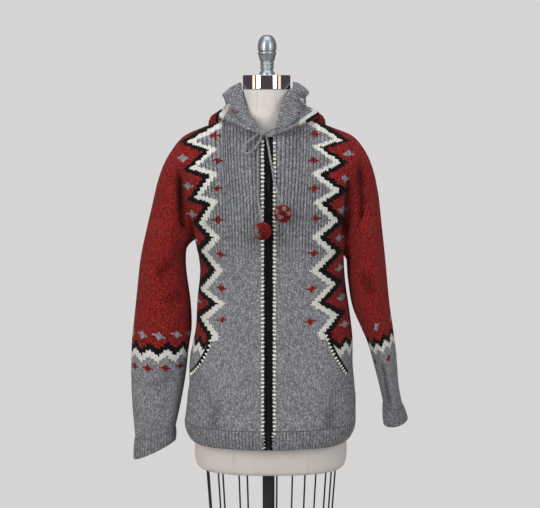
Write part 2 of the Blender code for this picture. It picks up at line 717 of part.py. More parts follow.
def build_sleeve(side, shape, normals):
    """The sleeve's wall, its first ring on the armhole's own points."""
    edge = 0 if side == "right" else -1
    rows = RIGHT_SLEEVE if side == "right" else LEFT_SLEEVE
    front = slice(LOWER_ROWS, LOWER_ROWS + UPPER_ROWS + 1)
    going_up = shape["front_" + side][-1, front]
    coming_down = shape["back"][edge, front][::-1]
    ring = np.concatenate([going_up[:-1], coming_down[:-1]])
    rings = [ring] + [sleeve_ring(row, len(ring)) for row in rows]
    grid = np.stack(rings, axis=1)
    turn = -1.0 if side == "right" else 1.0
    sleeve_normals = grid_normals(grid, -turn, closed=True)
    body_up = normals["front_" + side][-1, front]
    body_down = normals["back"][edge, front][::-1]
    body_ring = np.concatenate([body_up[:-1], body_down[:-1]])
    shared = unit(body_ring + sleeve_normals[:, 0])
    shared[0] = flattened(shared[0], FORWARD)
    shared[UPPER_ROWS] = flattened(shared[UPPER_ROWS], FORWARD)
    sleeve_normals[:, 0] = shared
    normals["front_" + side][-1, front] = shared[: UPPER_ROWS + 1]
    normals["back"][edge, front] = np.concatenate([shared[UPPER_ROWS:], shared[:1]])[::-1]
    last = rows[-1]
    axis = np.cross((last[0] - last[2], 0.0, last[1] - last[3]), FORWARD)
    sleeve_normals[:, -1] = flattened(sleeve_normals[:, -1], axis)
    grid = pull_in(grid, columns=(False, False))
    return cloth_wall("sleeve_" + side, grid, sleeve_normals, "red_knit", closed=True)


def build_cuff(side):
    """A ribbed cuff below the sleeve's last ring."""
    rows = RIGHT_CUFF if side == "right" else LEFT_CUFF
    columns = 2 * CUFF_RIBS
    rings = [sleeve_ring(row, columns) for row in rows]
    grid = np.stack(rings, axis=1)
    turn = 1.0 if side == "right" else -1.0
    normals = grid_normals(grid, turn, closed=True)
    for j, row in enumerate(rows):
        axis = np.cross((row[0] - row[2], 0.0, row[1] - row[3]), FORWARD)
        normals[:, j] = flattened(normals[:, j], axis)
    grid = pull_in(grid, columns=(False, False), rows=(True, False))
    raised = rib_pattern(columns)[:, None] * RIB_HEIGHT
    return cloth_wall("cuff_" + side, grid, normals, "grey_knit", raised, closed=True)


def build_hem_band():
    """The ribbed band under the fronts and the back, open at the zip."""
    columns = 2 * HEM_RIBS
    grid = np.zeros((columns + 1, 2, 3))
    for j, z in enumerate((HEM_Z, HEM_SEAM_Z)):
        last = 2 * math.pi - zip_angle(z, "right")
        angles = even_angles(z, zip_angle(z, "left"), last, columns)
        grid[:, j] = [body_point(a, z) for a in angles]
    normals = grid_normals(grid)
    normals = flattened(normals, UP)
    for edge in (0, -1):
        normals[edge] = flattened(normals[edge], (1, 0, 0))
    grid = pull_in(grid, columns=(False, False), rows=(False, True))
    raised = rib_pattern(columns + 1)[:, None] * RIB_HEIGHT
    return cloth_wall("hem_band", grid, normals, "grey_knit", raised)


def hood_shares():
    """Each hood column's share of the way from the zip to the back's middle, and its side."""
    front = np.linspace(0.0, 0.5, FRONT_NECK_COLUMNS + 1)
    neck_columns = BACK_COLUMNS - 2 * BACK_SHOULDER_COLUMNS
    back = np.linspace(0.5, 1.0, neck_columns // 2 + 1)
    half = np.concatenate([front, back[1:]])
    signs = np.concatenate([-np.ones(len(half)), np.ones(len(half) - 1)])
    return np.concatenate([half, half[-2::-1]]), signs


def hood_station(share, sign, which):
    """A point of one of the hood's lengthwise lines."""
    rows = RIGHT_HOOD if sign < 0 else LEFT_HOOD
    places = [row[0] for row in rows]
    points = [row[which] for row in rows]
    x, y, z = spline(points, [share], places)[0]
    return np.array([sign * x, y, z])


def build_hood(shape, normals):
    """The hood's pouch and, on its fold, the ribbed band round the face edge."""
    neck = slice(BACK_SHOULDER_COLUMNS, BACK_COLUMNS - BACK_SHOULDER_COLUMNS + 1)
    first = FRONT_NECK_COLUMNS + 1
    seam = np.concatenate([
        shape["front_right"][:first, -1],
        shape["back"][neck, -1][1:-1],
        shape["front_left"][:first, -1][::-1],
    ])
    body = np.concatenate([
        normals["front_right"][:first, -1],
        normals["back"][neck, -1][1:-1],
        normals["front_left"][:first, -1][::-1],
    ])
    shares, signs = hood_shares()
    steps = np.linspace(0.0, 1.0, HOOD_ROWS + 1)
    pouch = np.zeros((len(seam), HOOD_ROWS + 1, 3))
    edge = np.zeros((len(seam), 3))
    for i, (start, share, sign) in enumerate(zip(seam, shares, signs)):
        low, out, tuck, fold, edge[i] = [hood_station(share, sign, k) for k in (1, 2, 3, 4, 5)]
        pouch[i] = spline([start, low, out, tuck, fold], steps)
    pouch_normals = grid_normals(pouch, -1.0)
    shared = unit(body + pouch_normals[:, 0])
    shared[[0, -1]] = flattened(shared[[0, -1]], (1, 0, 0))
    neck_points = [FRONT_NECK_COLUMNS, -1 - FRONT_NECK_COLUMNS]
    shared[neck_points] = flattened(shared[neck_points], FORWARD)
    pouch_normals[:, 0] = shared
    normals["front_right"][:first, -1] = shared[:first]
    normals["back"][neck, -1] = shared[first - 1 : len(shared) - first + 1]
    normals["front_left"][:first, -1] = shared[::-1][:first]
    fold_line = pouch[:, -1]
    lines = [fold_line + (edge - fold_line) * k / BAND_ROWS for k in range(BAND_ROWS + 1)]
    band = np.stack(lines, axis=1)
    band_normals = grid_normals(band, -1.0)
    fold_normals = unit(pouch_normals[:, -1] + band_normals[:, 0])
    pouch_normals[:, -1] = fold_normals
    band_normals[:, 0] = fold_normals
    pouch = pull_in(pouch, columns=(False, False))
    cloth_wall("hood", pouch, pouch_normals, "grey_knit")
    band = pull_in(band, columns=(False, False), rows=(True, False), gap=FOLD_GAP)
    fine = np.arange(0, (len(seam) - 1) * BAND_SPLIT + 1) / BAND_SPLIT
    band = between_columns(band, fine)
    band_normals = between_columns(band_normals, fine)
    raised = np.zeros(band.shape[:2])
    raised[:, 1:] = rib_pattern(len(fine))[:, None] * RIB_HEIGHT
    cloth_wall("hood_band", band, band_normals, "grey_knit", raised)


def between_columns(grid, places):
    """A grid's columns read at places between them, straight from one to the next."""
    low = np.minimum(places.astype(int), len(grid) - 2)
    share = (places - low)[:, None, None]
    return grid[low] * (1 - share) + grid[low + 1] * share


def build_panels(shape, normals):
    """The two fronts with ribs that fade out towards the waist, and the back."""
    heights = np.linspace(0.0, 1.0, LOWER_ROWS + UPPER_ROWS + 1)
    fade = blend(heights, RIB_BLEND)
    fade[-1] = 0.0
    for side in ("right", "left"):
        name = "front_" + side
        ribs = rib_pattern(FRONT_COLUMNS + 1)
        ribs[-1] = 0.0
        raised = ribs[:, None] * fade[None, :] * RIB_HEIGHT
        grid = pull_in(shape[name], columns=(False, True))
        cloth_wall(name, grid, normals[name], "grey_knit", raised)
    cloth_wall("back", pull_in(shape["back"]), normals["back"], "red_knit")


def zip_line(shape):
    """Points down the middle of the front, from hem to neck, and the way out of the cloth there."""
    column = shape["front_left"][0]
    below = np.array([body_point(zip_angle(HEM_Z, "left"), HEM_Z)])
    line = np.concatenate([below, column])
    line[:, 0] = 0.0
    along = np.gradient(line, axis=0)
    outward = unit(np.cross((1.0, 0.0, 0.0), along))
    outward[0] = FORWARD
    return line, outward


def build_zip(shape):
    """The black edge bands, the closed chain, the slider and its pull tab."""
    line, outward = zip_line(shape)
    reach = {
        "zip_band_right": (-ZIP_BAND_OUTSIDE, -ZIP_BAND_INSIDE),
        "zip_chain": (-CHAIN_HALF, CHAIN_HALF),
        "zip_band_left": (ZIP_BAND_INSIDE, ZIP_BAND_OUTSIDE),
    }
    for name, (first, last) in reach.items():
        sides = [line + np.array([x, 0.0, 0.0]) for x in (first, last)]
        grid = np.stack(sides)
        slot = "zip_metal" if name == "zip_chain" else "black_knit"
        cloth_wall(name, grid, np.stack([outward, outward]), slot)
    build_slider(line)


def box(bm, low, high):
    """A box between two corners, added to a bmesh."""
    size = [b - a for a, b in zip(low, high)]
    middle = [(a + b) / 2 for a, b in zip(low, high)]
    made = bmesh.ops.create_cube(bm, size=1.0)
    bmesh.ops.scale(bm, vec=size, verts=made["verts"])
    bmesh.ops.translate(bm, vec=middle, verts=made["verts"])


def outline_solid(name, outline, half, material, middle, hole=None, turn=None):
    """A flat outline with an optional hole, given thickness both ways."""
    curve = bpy.data.curves.new(name, "CURVE")
    curve.dimensions = "2D"
    curve.fill_mode = "BOTH"
    curve.extrude = half
    for ring in [outline] + ([hole] if hole else []):
        line = curve.splines.new("POLY")
        line.use_cyclic_u = True
        line.points.add(len(ring) - 1)
        for spot, (x, y) in zip(line.points, ring):
            spot.co = (x, y, 0.0, 1.0)
    obj = new_object(name, curve, material)
    obj.location = middle
    if turn:
        obj.rotation_euler = turn
    return obj


def build_slider(line):
    """The slider on the chain's face and the pull tab hung in its bridge, which turns about X."""
    lean = np.interp(SLIDER_Z, line[:, 2], line[:, 1])
    axis_y = lean - SEAM_GAP - TAB_OFF_CHAIN
    higher = SLIDER_Z + TAB_LENGTH
    slope = np.interp(higher, line[:, 2], line[:, 1]) - lean
    tilt = -math.atan2(slope, TAB_LENGTH)
    bm = bmesh.new()
    bridge_ring(bm, SLIDER_OUTLINE, SLIDER_SLOT, BRIDGE_HALF)
    slider = finish_mesh("zip_slider", bm, "zip_metal", smooth=False)
    slider.location = (0.0, axis_y, SLIDER_Z)
    slider.rotation_euler = (tilt, 0.0, 0.0)
    widen_plate(slider)
    build_tab(axis_y, tilt)


def bridge_ring(bm, outer, inner, half):
    """The slider's side outline with its slot, given its width along X."""
    rings = {}
    for name, points in (("outer", outer), ("inner", inner)):
        for x in (-half, half):
            rings[name, x] = [bm.verts.new((x, y, z)) for y, z in points]
    for name in ("outer", "inner"):
        count = len(rings[name, half])
        for i in range(count):
            k = (i + 1) % count
            a, b = rings[name, -half], rings[name, half]
            bm.faces.new((a[i], a[k], b[k], b[i]))
    for x in (-half, half):
        edges = []
        for name in ("outer", "inner"):
            ring = rings[name, x]
            for a, b in zip(ring, ring[1:] + ring[:1]):
                edges.append(bm.edges.get((a, b)))
        bmesh.ops.triangle_fill(bm, edges=edges, use_beauty=True)


def widen_plate(slider):
    """The slider's plate, wider than its bridge, joined to it."""
    bm = bmesh.new()
    box(
        bm, (-PLATE_HALF, PLATE_FRONT, PLATE_LOW + PLATE_INSET),
        (PLATE_HALF, PLATE_BACK - PLATE_INSET, PLATE_HIGH - PLATE_INSET),
    )
    plate = finish_mesh("slider_plate", bm, "zip_metal", smooth=False)
    plate.location = slider.location
    plate.rotation_euler = slider.rotation_euler
    PARTS.objects.unlink(plate)
    HELPERS.objects.link(plate)
    plate.hide_render = True
    plate.display_type = "WIRE"
    join = slider.modifiers.new("plate", "BOOLEAN")
    join.operation = "UNION"
    join.object = plate


def build_tab(axis_y, tilt):
    """The pull tab: a plate with a window whose top bar lies in the slider's bridge."""
    right_side = [(-x, y) for x, y in TAB_SIDE[::-1]]
    outline = TAB_SIDE + right_side
    window = [
        (-TAB_WINDOW_HALF, -TAB_BAR), (TAB_WINDOW_HALF, -TAB_BAR),
        (TAB_WINDOW_HALF, TAB_WINDOW_BOTTOM), (-TAB_WINDOW_HALF, TAB_WINDOW_BOTTOM),
    ]
    outline_solid(
        "zip_pull_tab", outline, TAB_BAR, "zip_metal", (0.0, axis_y, SLIDER_Z),
        hole=window, turn=(math.pi / 2 + tilt, 0.0, 0.0),
    )


def build_pocket_edge(side, shape, normals):
    """A raised strip along the slanted pocket opening, on the front's own points."""
    route = RIGHT_POCKET if side == "right" else LEFT_POCKET
    grid = shape["front_" + side]
    places = spline(route, np.linspace(0, 1, POCKET_EDGE_POINTS))
    points = np.array([panel_point(grid, a, b) for a, b in places])
    outward = unit([panel_point(normals["front_" + side], a, b) for a, b in places])
    along = np.gradient(points, axis=0)
    across = unit(np.cross(outward, along)) * POCKET_EDGE_WIDTH / 2
    face = points + outward * (POCKET_EDGE_LIFT + POCKET_EDGE_CLOTH)
    strip = np.stack([face + across, face - across])
    cloth_wall(
        "pocket_edge_" + side, strip, np.stack([outward, outward]), "cream_knit",
        thickness=POCKET_EDGE_CLOTH,
    )


def panel_point(grid, across, up):
    """A grid read at shares across its columns and up its rows below the underarm."""
    column = across * (grid.shape[0] - 1)
    row = up * LOWER_ROWS
    i = min(int(column), grid.shape[0] - 2)
    j = min(int(row), LOWER_ROWS - 1)
    a = column - i
    b = row - j
    low = grid[i, j] * (1 - a) + grid[i + 1, j] * a
    high = grid[i, j + 1] * (1 - a) + grid[i + 1, j + 1] * a
    return low * (1 - b) + high * b


def front_face(shape, x, z):
    """The front's depth at a place near its middle."""
    column = shape["front_left"][0]
    depth = np.interp(z, column[:, 2], column[:, 1])
    return depth * (1.0 - abs(x / CHEST_HALF) ** CHEST_SQUARENESS) ** (1 / CHEST_SQUARENESS)


def over_front(shape, route, off):
    """A route of x, z and lift laid over the fronts, its middle line off their face."""
    return np.array([(x, front_face(shape, x, z) - off - lift, z) for x, z, lift in route])


def build_drawstring(shape):
    """The knot, its bow and tie, and the two ends with their pompoms."""
    off = CORD_DIAMETER / 2 + CORD_OFF_CLOTH
    knot_y = front_face(shape, *KNOT) - KNOT_RADIUS - KNOT_OFF_CLOTH
    bm = bmesh.new()
    bmesh.ops.create_uvsphere(bm, u_segments=12, v_segments=8, radius=KNOT_RADIUS)
    knot = finish_mesh("drawstring_knot", bm, "grey_knit")
    knot.location = (KNOT[0], knot_y, KNOT[1])
    middle = np.array(knot.location)
    for side, route, ball in (
        ("right", RIGHT_CORD, RIGHT_POMPOM), ("left", LEFT_CORD, LEFT_POMPOM)
    ):
        ball_y = front_face(shape, *ball) - POMPOM_RADIUS - POMPOM_OFF_CLOTH
        points = over_front(shape, [(x, z, 0.0) for x, z in route], off)
        points = np.concatenate([from_knot(middle, points[0]), points[1:]])
        points[-1] = (ball[0], ball_y, ball[1] + POMPOM_RADIUS + SEAM_GAP)
        points[-2, 1] += (points[-1, 1] - points[-2, 1]) * CORD_LIFT_AT_POMPOM
        tube("drawstring_" + side, points, CORD_DIAMETER, "grey_knit", CORD_STEP)
        build_pompom("pompom_" + side, (ball[0], ball_y, ball[1]))
    bow = over_front(shape, BOW, off)
    bow = np.concatenate([
        from_knot(middle, bow[0]), bow[1:-1], from_knot(middle, bow[-1])[::-1]
    ])
    tube("drawstring_bow", bow, CORD_DIAMETER, "grey_knit", BEND_STEP)
    tie = over_front(shape, TIE, off)
    tie = np.concatenate([from_knot(middle, tie[0]), tie[1:]])
    tube("drawstring_tie", tie, CORD_DIAMETER, "grey_knit", BEND_STEP)


def from_knot(middle, toward):
    """Two points straight out of the knot towards a third, the first just off its face."""
    way = unit(toward - middle)
    near = KNOT_RADIUS + CORD_OFF_KNOT
    return np.array([middle + way * near, middle + way * (near + CORD_DIAMETER)])


def build_pompom(name, middle):
    """A ball of pointed locks, their roots fused, with one lock straight up."""
    bm = bmesh.new()
    bmesh.ops.create_icosphere(bm, subdivisions=2, radius=POMPOM_CORE)
    bm.faces.ensure_lookup_table()
    turn = bm.faces[0].calc_center_median().rotation_difference(Vector((0, 0, 1)))
    bmesh.ops.rotate(bm, matrix=turn.to_matrix(), verts=bm.verts)
    bmesh.ops.poke(bm, faces=bm.faces)
    roots = {v for v in bm.verts if v.co.length > POMPOM_CORE * 0.999}
    for vert in bm.verts:
        if vert not in roots:
            vert.co = vert.co.normalized() * POMPOM_RADIUS
    ball = finish_mesh(name, bm, "red_knit", smooth=False)
    ball.location = middle


def build_torso():
    """The linen torso, lofted through its sections."""
    rings = []
    for z, middle, half, front, back, squareness in TORSO_SECTIONS:
        ring = []
        for i in range(TORSO_SIDES):
            angle = 2 * math.pi * i / TORSO_SIDES
            depth = front if math.cos(angle) > 0 else back
            x, y = section_point(half, depth, squareness, angle)
            ring.append((middle + x, y, z))
        rings.append(ring)
    loft("form_torso", rings, "ivory_linen")


def build_neck():
    """The mirror cap and the turned finial."""
    edge = 0.0008
    height = CAP_TOP - CAP_BOTTOM
    cap = [
        (0.0, height), (CAP_RADIUS - edge, height), (CAP_RADIUS, height - edge),
        (CAP_RADIUS, edge), (CAP_RADIUS - edge, 0.0), (0.0, 0.0),
    ]
    turned("neck_cap", cap, "mirror_chrome", (NECK_X, 0.0, CAP_BOTTOM), 32)
    turned("finial", FINIAL_PROFILE, "silver_paint", (NECK_X + 0.001, 0.0, FINIAL_BOTTOM), 18)


def build_stand():
    """The base, the pole and the wire cage hung under the torso."""
    base = [
        (0.0, BASE_TOP), (BASE_HUB_RADIUS * 0.8, BASE_TOP), (BASE_HUB_RADIUS, BASE_TOP - 0.006),
        (BASE_HUB_RADIUS + 0.008, BASE_EDGE + 0.012), (BASE_RADIUS - 0.02, BASE_EDGE + 0.003),
        (BASE_RADIUS, BASE_EDGE - 0.002), (BASE_RADIUS, 0.0), (0.0, 0.0),
    ]
    turned("base", base, "black_paint", (0.0, 0.0, 0.0), 32)
    torso_bottom = TORSO_SECTIONS[0][0]
    rod(
        "pole", (0.0, 0.0, BASE_TOP + SEAM_GAP), (0.0, 0.0, torso_bottom - SEAM_GAP),
        POLE_RADIUS, "black_paint", 16,
    )
    for i in range(CAGE_WIRES):
        angle = CAGE_START + 2 * math.pi * i / CAGE_WIRES
        ends = []
        for (wide, deep), z in (
            (CAGE_TOP, torso_bottom - CAGE_WIRE_GAP),
            (CAGE_BOTTOM, CAGE_RING_Z + CAGE_RING_WIRE + CAGE_WIRE_GAP),
        ):
            ends.append((CAGE_MIDDLE_X + wide * math.sin(angle), -deep * math.cos(angle), z))
        rod(f"cage_wire_{i + 1:02d}", ends[1], ends[0], CAGE_WIRE_RADIUS, "black_paint", 6)
    build_cage_ring()


def build_cage_ring():
    """The oval ring at the cage's foot, four spokes and the collar on the pole."""
    bm = bmesh.new()
    rim = 28
    sides = 6
    rings = []
    for i in range(rim):
        turn = 2 * math.pi * i / rim
        out = Vector((math.sin(turn), -math.cos(turn), 0.0))
        middle = Vector((CAGE_BOTTOM[0] * out.x + CAGE_MIDDLE_X, CAGE_BOTTOM[1] * out.y, CAGE_RING_Z))
        ring = []
        for k in range(sides):
            round_wire = 2 * math.pi * k / sides + math.pi / 6
            lift = Vector((0.0, 0.0, math.sin(round_wire)))
            ring.append(bm.verts.new(middle + (out * math.cos(round_wire) + lift) * CAGE_RING_WIRE))
        rings.append(ring)
    for i in range(rim):
        for k in range(sides):
            n = (i + 1) % rim
            m = (k + 1) % sides
            bm.faces.new((rings[i][k], rings[n][k], rings[n][m], rings[i][m]))
    finish_mesh("cage_ring", bm, "black_paint")
    collar_inside = POLE_RADIUS + SEAM_GAP
    half = COLLAR_HEIGHT / 2
    collar = [
        (collar_inside, half), (COLLAR_RADIUS, half), (COLLAR_RADIUS, -half),
        (collar_inside, -half), (collar_inside, half),
    ]
    turned("cage_collar", collar, "black_paint", (0.0, 0.0, CAGE_RING_Z), 16)
    spokes = {
        "front": ((0, -1, 0), CAGE_BOTTOM[1]),
        "back": ((0, 1, 0), CAGE_BOTTOM[1]),
        "right": ((-1, 0, 0), CAGE_BOTTOM[0] - CAGE_MIDDLE_X),
        "left": ((1, 0, 0), CAGE_BOTTOM[0] + CAGE_MIDDLE_X),
    }
    for name, (direction, reach) in spokes.items():
        way = Vector(direction)
        height = Vector((0, 0, CAGE_RING_Z))
        start = way * (COLLAR_RADIUS + SEAM_GAP) + height
        end = way * (reach - CAGE_RING_WIRE - SEAM_GAP) + height
        rod("cage_spoke_" + name, start, end, CAGE_SPOKE_RADIUS, "black_paint", 6)


clear_scene()
PARTS = bpy.data.collections.new("zip_cardigan_on_form")
HELPERS = bpy.data.collections.new("cutters")
bpy.context.scene.collection.children.link(PARTS)
bpy.context.scene.collection.children.link(HELPERS)
MATERIALS = make_materials()


def main():
    shape, normals = shape_cardigan()
    for side in ("right", "left"):
        build_sleeve(side, shape, normals)
        build_cuff(side)
    build_hood(shape, normals)
    build_panels(shape, normals)
    build_hem_band()
    build_zip(shape)
    for side in ("right", "left"):
        build_pocket_edge(side, shape, normals)
    build_drawstring(shape)
    build_torso()
    build_neck()
    build_stand()


main()
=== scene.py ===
"""Looks of the hooded zip cardigan on its dress form.

Metres, +Z up, front towards -Y. Right and left are the wearer's: right is towards -X.
"""

import math

import bmesh
import bpy
import numpy as np
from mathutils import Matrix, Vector


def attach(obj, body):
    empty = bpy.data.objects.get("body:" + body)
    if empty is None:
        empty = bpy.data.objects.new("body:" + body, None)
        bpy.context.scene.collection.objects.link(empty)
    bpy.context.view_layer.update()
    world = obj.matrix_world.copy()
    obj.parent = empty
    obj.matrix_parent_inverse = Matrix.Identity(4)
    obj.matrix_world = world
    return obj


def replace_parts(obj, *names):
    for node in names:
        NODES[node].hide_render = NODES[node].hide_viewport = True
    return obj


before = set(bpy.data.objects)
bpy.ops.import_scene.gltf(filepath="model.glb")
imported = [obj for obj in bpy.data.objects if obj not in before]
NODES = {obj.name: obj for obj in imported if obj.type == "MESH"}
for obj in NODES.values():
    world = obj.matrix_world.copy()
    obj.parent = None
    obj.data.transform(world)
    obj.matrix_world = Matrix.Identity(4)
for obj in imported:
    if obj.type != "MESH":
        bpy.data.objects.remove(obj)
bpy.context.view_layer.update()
BODY = "garment_and_form"

# Cloth
CLOTH = 0.003
SEAM_GAP = 0.0003
RIB_HEIGHT = 0.0012
UP = np.array([0.0, 0.0, 1.0])
FORWARD = np.array([0.0, -1.0, 0.0])

# Body of the cardigan, measured on the outer face
HEM_Z = 0.680
HEM_SEAM_Z = 0.722
UNDERARM_Z = 1.1005
UNDERARM_LEAN = 0.0175
FRONT_COLUMNS = 26
FRONT_NECK_COLUMNS = 10
BACK_COLUMNS = 24
BACK_SHOULDER_COLUMNS = 8
LOWER_ROWS = 6
UPPER_ROWS = 8
ARMHOLE_DEPTH = 0.058
# How far a column leans out and down where it reaches the shoulder and the neck
OVER_SHOULDER = (0.084, 0.006)
UP_NECK = (0.028, 0.080)
CHEST_RISE = 0.40
# Shares of the way to the armhole over which one course gives way to the next
NECK_BLEND = (0.22, 0.42)
ARM_BLEND = (0.60, 1.00)
LOW_ARM_BLEND = (0.80, 1.00)

# height, reach to the right, reach to the left, front depth, back depth, squareness
BODY_SECTIONS = [
    (0.680, 0.1755, 0.1800, 0.126, 0.112, 2.6),
    (0.700, 0.1820, 0.1880, 0.127, 0.112, 2.6),
    (0.722, 0.1845, 0.1925, 0.127, 0.112, 2.6),
    (0.750, 0.1785, 0.1955, 0.126, 0.111, 2.6),
    (0.810, 0.1745, 0.1855, 0.125, 0.108, 2.5),
    (0.872, 0.1715, 0.1865, 0.123, 0.105, 2.5),
    (0.905, 0.1630, 0.1845, 0.122, 0.103, 2.5),
    (1.000, 0.1550, 0.1720, 0.121, 0.100, 2.4),
    (1.060, 0.1500, 0.1640, 0.122, 0.101, 2.4),
    (1.120, 0.1600, 0.1660, 0.124, 0.103, 2.4),
]

# Neckline from the zip to the neck point, as x, y, z of the left side
FRONT_NECKLINE = [
    (0.0098, -0.0850, 1.3430),
    (0.0387, -0.0750, 1.3540),
    (0.0645, -0.0520, 1.3640),
    (0.0864, -0.0270, 1.3725),
    (0.1000, 0.0, 1.3770),
]
BACK_NECKLINE = [
    (0.1000, 0.0, 1.3770),
    (0.0930, 0.0250, 1.3830),
    (0.0740, 0.0480, 1.3890),
    (0.0430, 0.0650, 1.3940),
    (0.0, 0.0700, 1.3960),
]
# Shoulder line from the neck point to the dropped seam on the upper arm, as x and z
RIGHT_SHOULDER = [
    (0.1000, 1.3770),
    (0.1280, 1.3655),
    (0.1560, 1.3545),
    (0.1820, 1.3420),
    (0.2085, 1.3120),
    (0.2285, 1.2770),
    (0.2420, 1.2380),
]
LEFT_SHOULDER = [
    (0.1000, 1.3770),
    (0.1240, 1.3655),
    (0.1540, 1.3540),
    (0.1800, 1.3430),
    (0.2020, 1.3200),
    (0.2190, 1.2900),
    (0.2310, 1.2540),
]

# Sleeve rings: outer x and z, inner x and z, middle y, half depth
RIGHT_SLEEVE = [
    (-0.2540, 1.1880, -0.1740, 1.1050, 0.000, 0.062),
    (-0.2651, 1.1419, -0.1800, 1.0900, -0.002, 0.065),
    (-0.2791, 1.0780, -0.1798, 1.0492, -0.004, 0.066),
    (-0.2879, 1.0047, -0.1712, 0.9824, -0.006, 0.064),
    (-0.2969, 0.9264, -0.1690, 0.9264, -0.008, 0.060),
    (-0.3015, 0.8814, -0.1755, 0.8791, -0.010, 0.057),
    (-0.3030, 0.8202, -0.1832, 0.8157, -0.012, 0.051),
    (-0.3018, 0.7564, -0.1950, 0.7518, -0.014, 0.043),
    (-0.2960, 0.6760, -0.2067, 0.6998, -0.015, 0.034),
]
RIGHT_CUFF = [
    (-0.2960, 0.6760, -0.2067, 0.6998, -0.015, 0.034),
    (-0.2994, 0.6280, -0.2070, 0.6710, -0.016, 0.032),
]
LEFT_SLEEVE = [
    (0.2390, 1.2120, 0.1705, 1.0720, 0.000, 0.064),
    (0.2463, 1.1485, 0.1715, 1.0580, -0.003, 0.069),
    (0.2538, 1.0824, 0.1740, 1.0290, -0.006, 0.073),
    (0.2641, 0.9824, 0.1837, 0.9712, -0.010, 0.075),
    (0.2724, 0.9264, 0.2031, 0.9242, -0.013, 0.073),
    (0.2798, 0.8723, 0.2199, 0.8836, -0.015, 0.069),
    (0.2862, 0.7998, 0.2431, 0.7998, -0.018, 0.060),
    (0.2948, 0.7541, 0.2537, 0.7541, -0.020, 0.050),
]
LEFT_CUFF = [
    (0.2948, 0.7541, 0.2537, 0.7541, -0.020, 0.050),
    (0.3066, 0.7230, 0.2555, 0.7080, -0.021, 0.046),
]
# Hood laid back, as x, y, z with x away from the middle; the share runs from the zip round to the
# back's middle. Share, lower fold, outermost, tuck under the flap, face fold, face edge
RIGHT_HOOD = [
    (0.00, (0.0120, -0.0900, 1.3460), (0.0140, -0.0920, 1.3490), (0.0145, -0.0920, 1.3505),
     (0.0150, -0.0925, 1.3530), (0.0140, -0.0880, 1.3580)),
    (0.16, (0.0440, -0.0840, 1.3580), (0.0450, -0.0860, 1.3620), (0.0425, -0.0855, 1.3655),
     (0.0430, -0.0890, 1.3710), (0.0290, -0.0740, 1.3780)),
    (0.30, (0.0700, -0.0590, 1.3690), (0.0730, -0.0600, 1.3750), (0.0650, -0.0570, 1.3800),
     (0.0670, -0.0620, 1.3890), (0.0455, -0.0500, 1.4000)),
    (0.42, (0.0920, -0.0280, 1.3760), (0.0950, -0.0270, 1.3840), (0.0800, -0.0190, 1.3970),
     (0.0860, -0.0280, 1.4110), (0.0560, -0.0230, 1.4340)),
    (0.52, (0.1100, 0.0120, 1.3790), (0.1170, 0.0200, 1.3880), (0.0860, 0.0200, 1.4070),
     (0.0985, 0.0060, 1.4310), (0.0600, 0.0060, 1.4550)),
    (0.62, (0.1230, 0.0600, 1.3480), (0.1330, 0.0720, 1.3760), (0.0930, 0.0610, 1.4040),
     (0.1000, 0.0470, 1.4280), (0.0620, 0.0360, 1.4550)),
    (0.75, (0.1150, 0.1230, 1.2980), (0.1220, 0.1400, 1.3380), (0.0920, 0.1130, 1.3930),
     (0.0880, 0.0980, 1.4120), (0.0590, 0.0700, 1.4380)),
    (0.88, (0.0700, 0.1520, 1.2620), (0.0700, 0.1740, 1.3080), (0.0560, 0.1480, 1.3820),
     (0.0520, 0.1340, 1.4020), (0.0350, 0.0980, 1.4260)),
    (1.00, (0.0, 0.1600, 1.2500), (0.0, 0.1830, 1.2980), (0.0, 0.1560, 1.3790),
     (0.0, 0.1420, 1.3990), (0.0, 0.1070, 1.4230)),
]
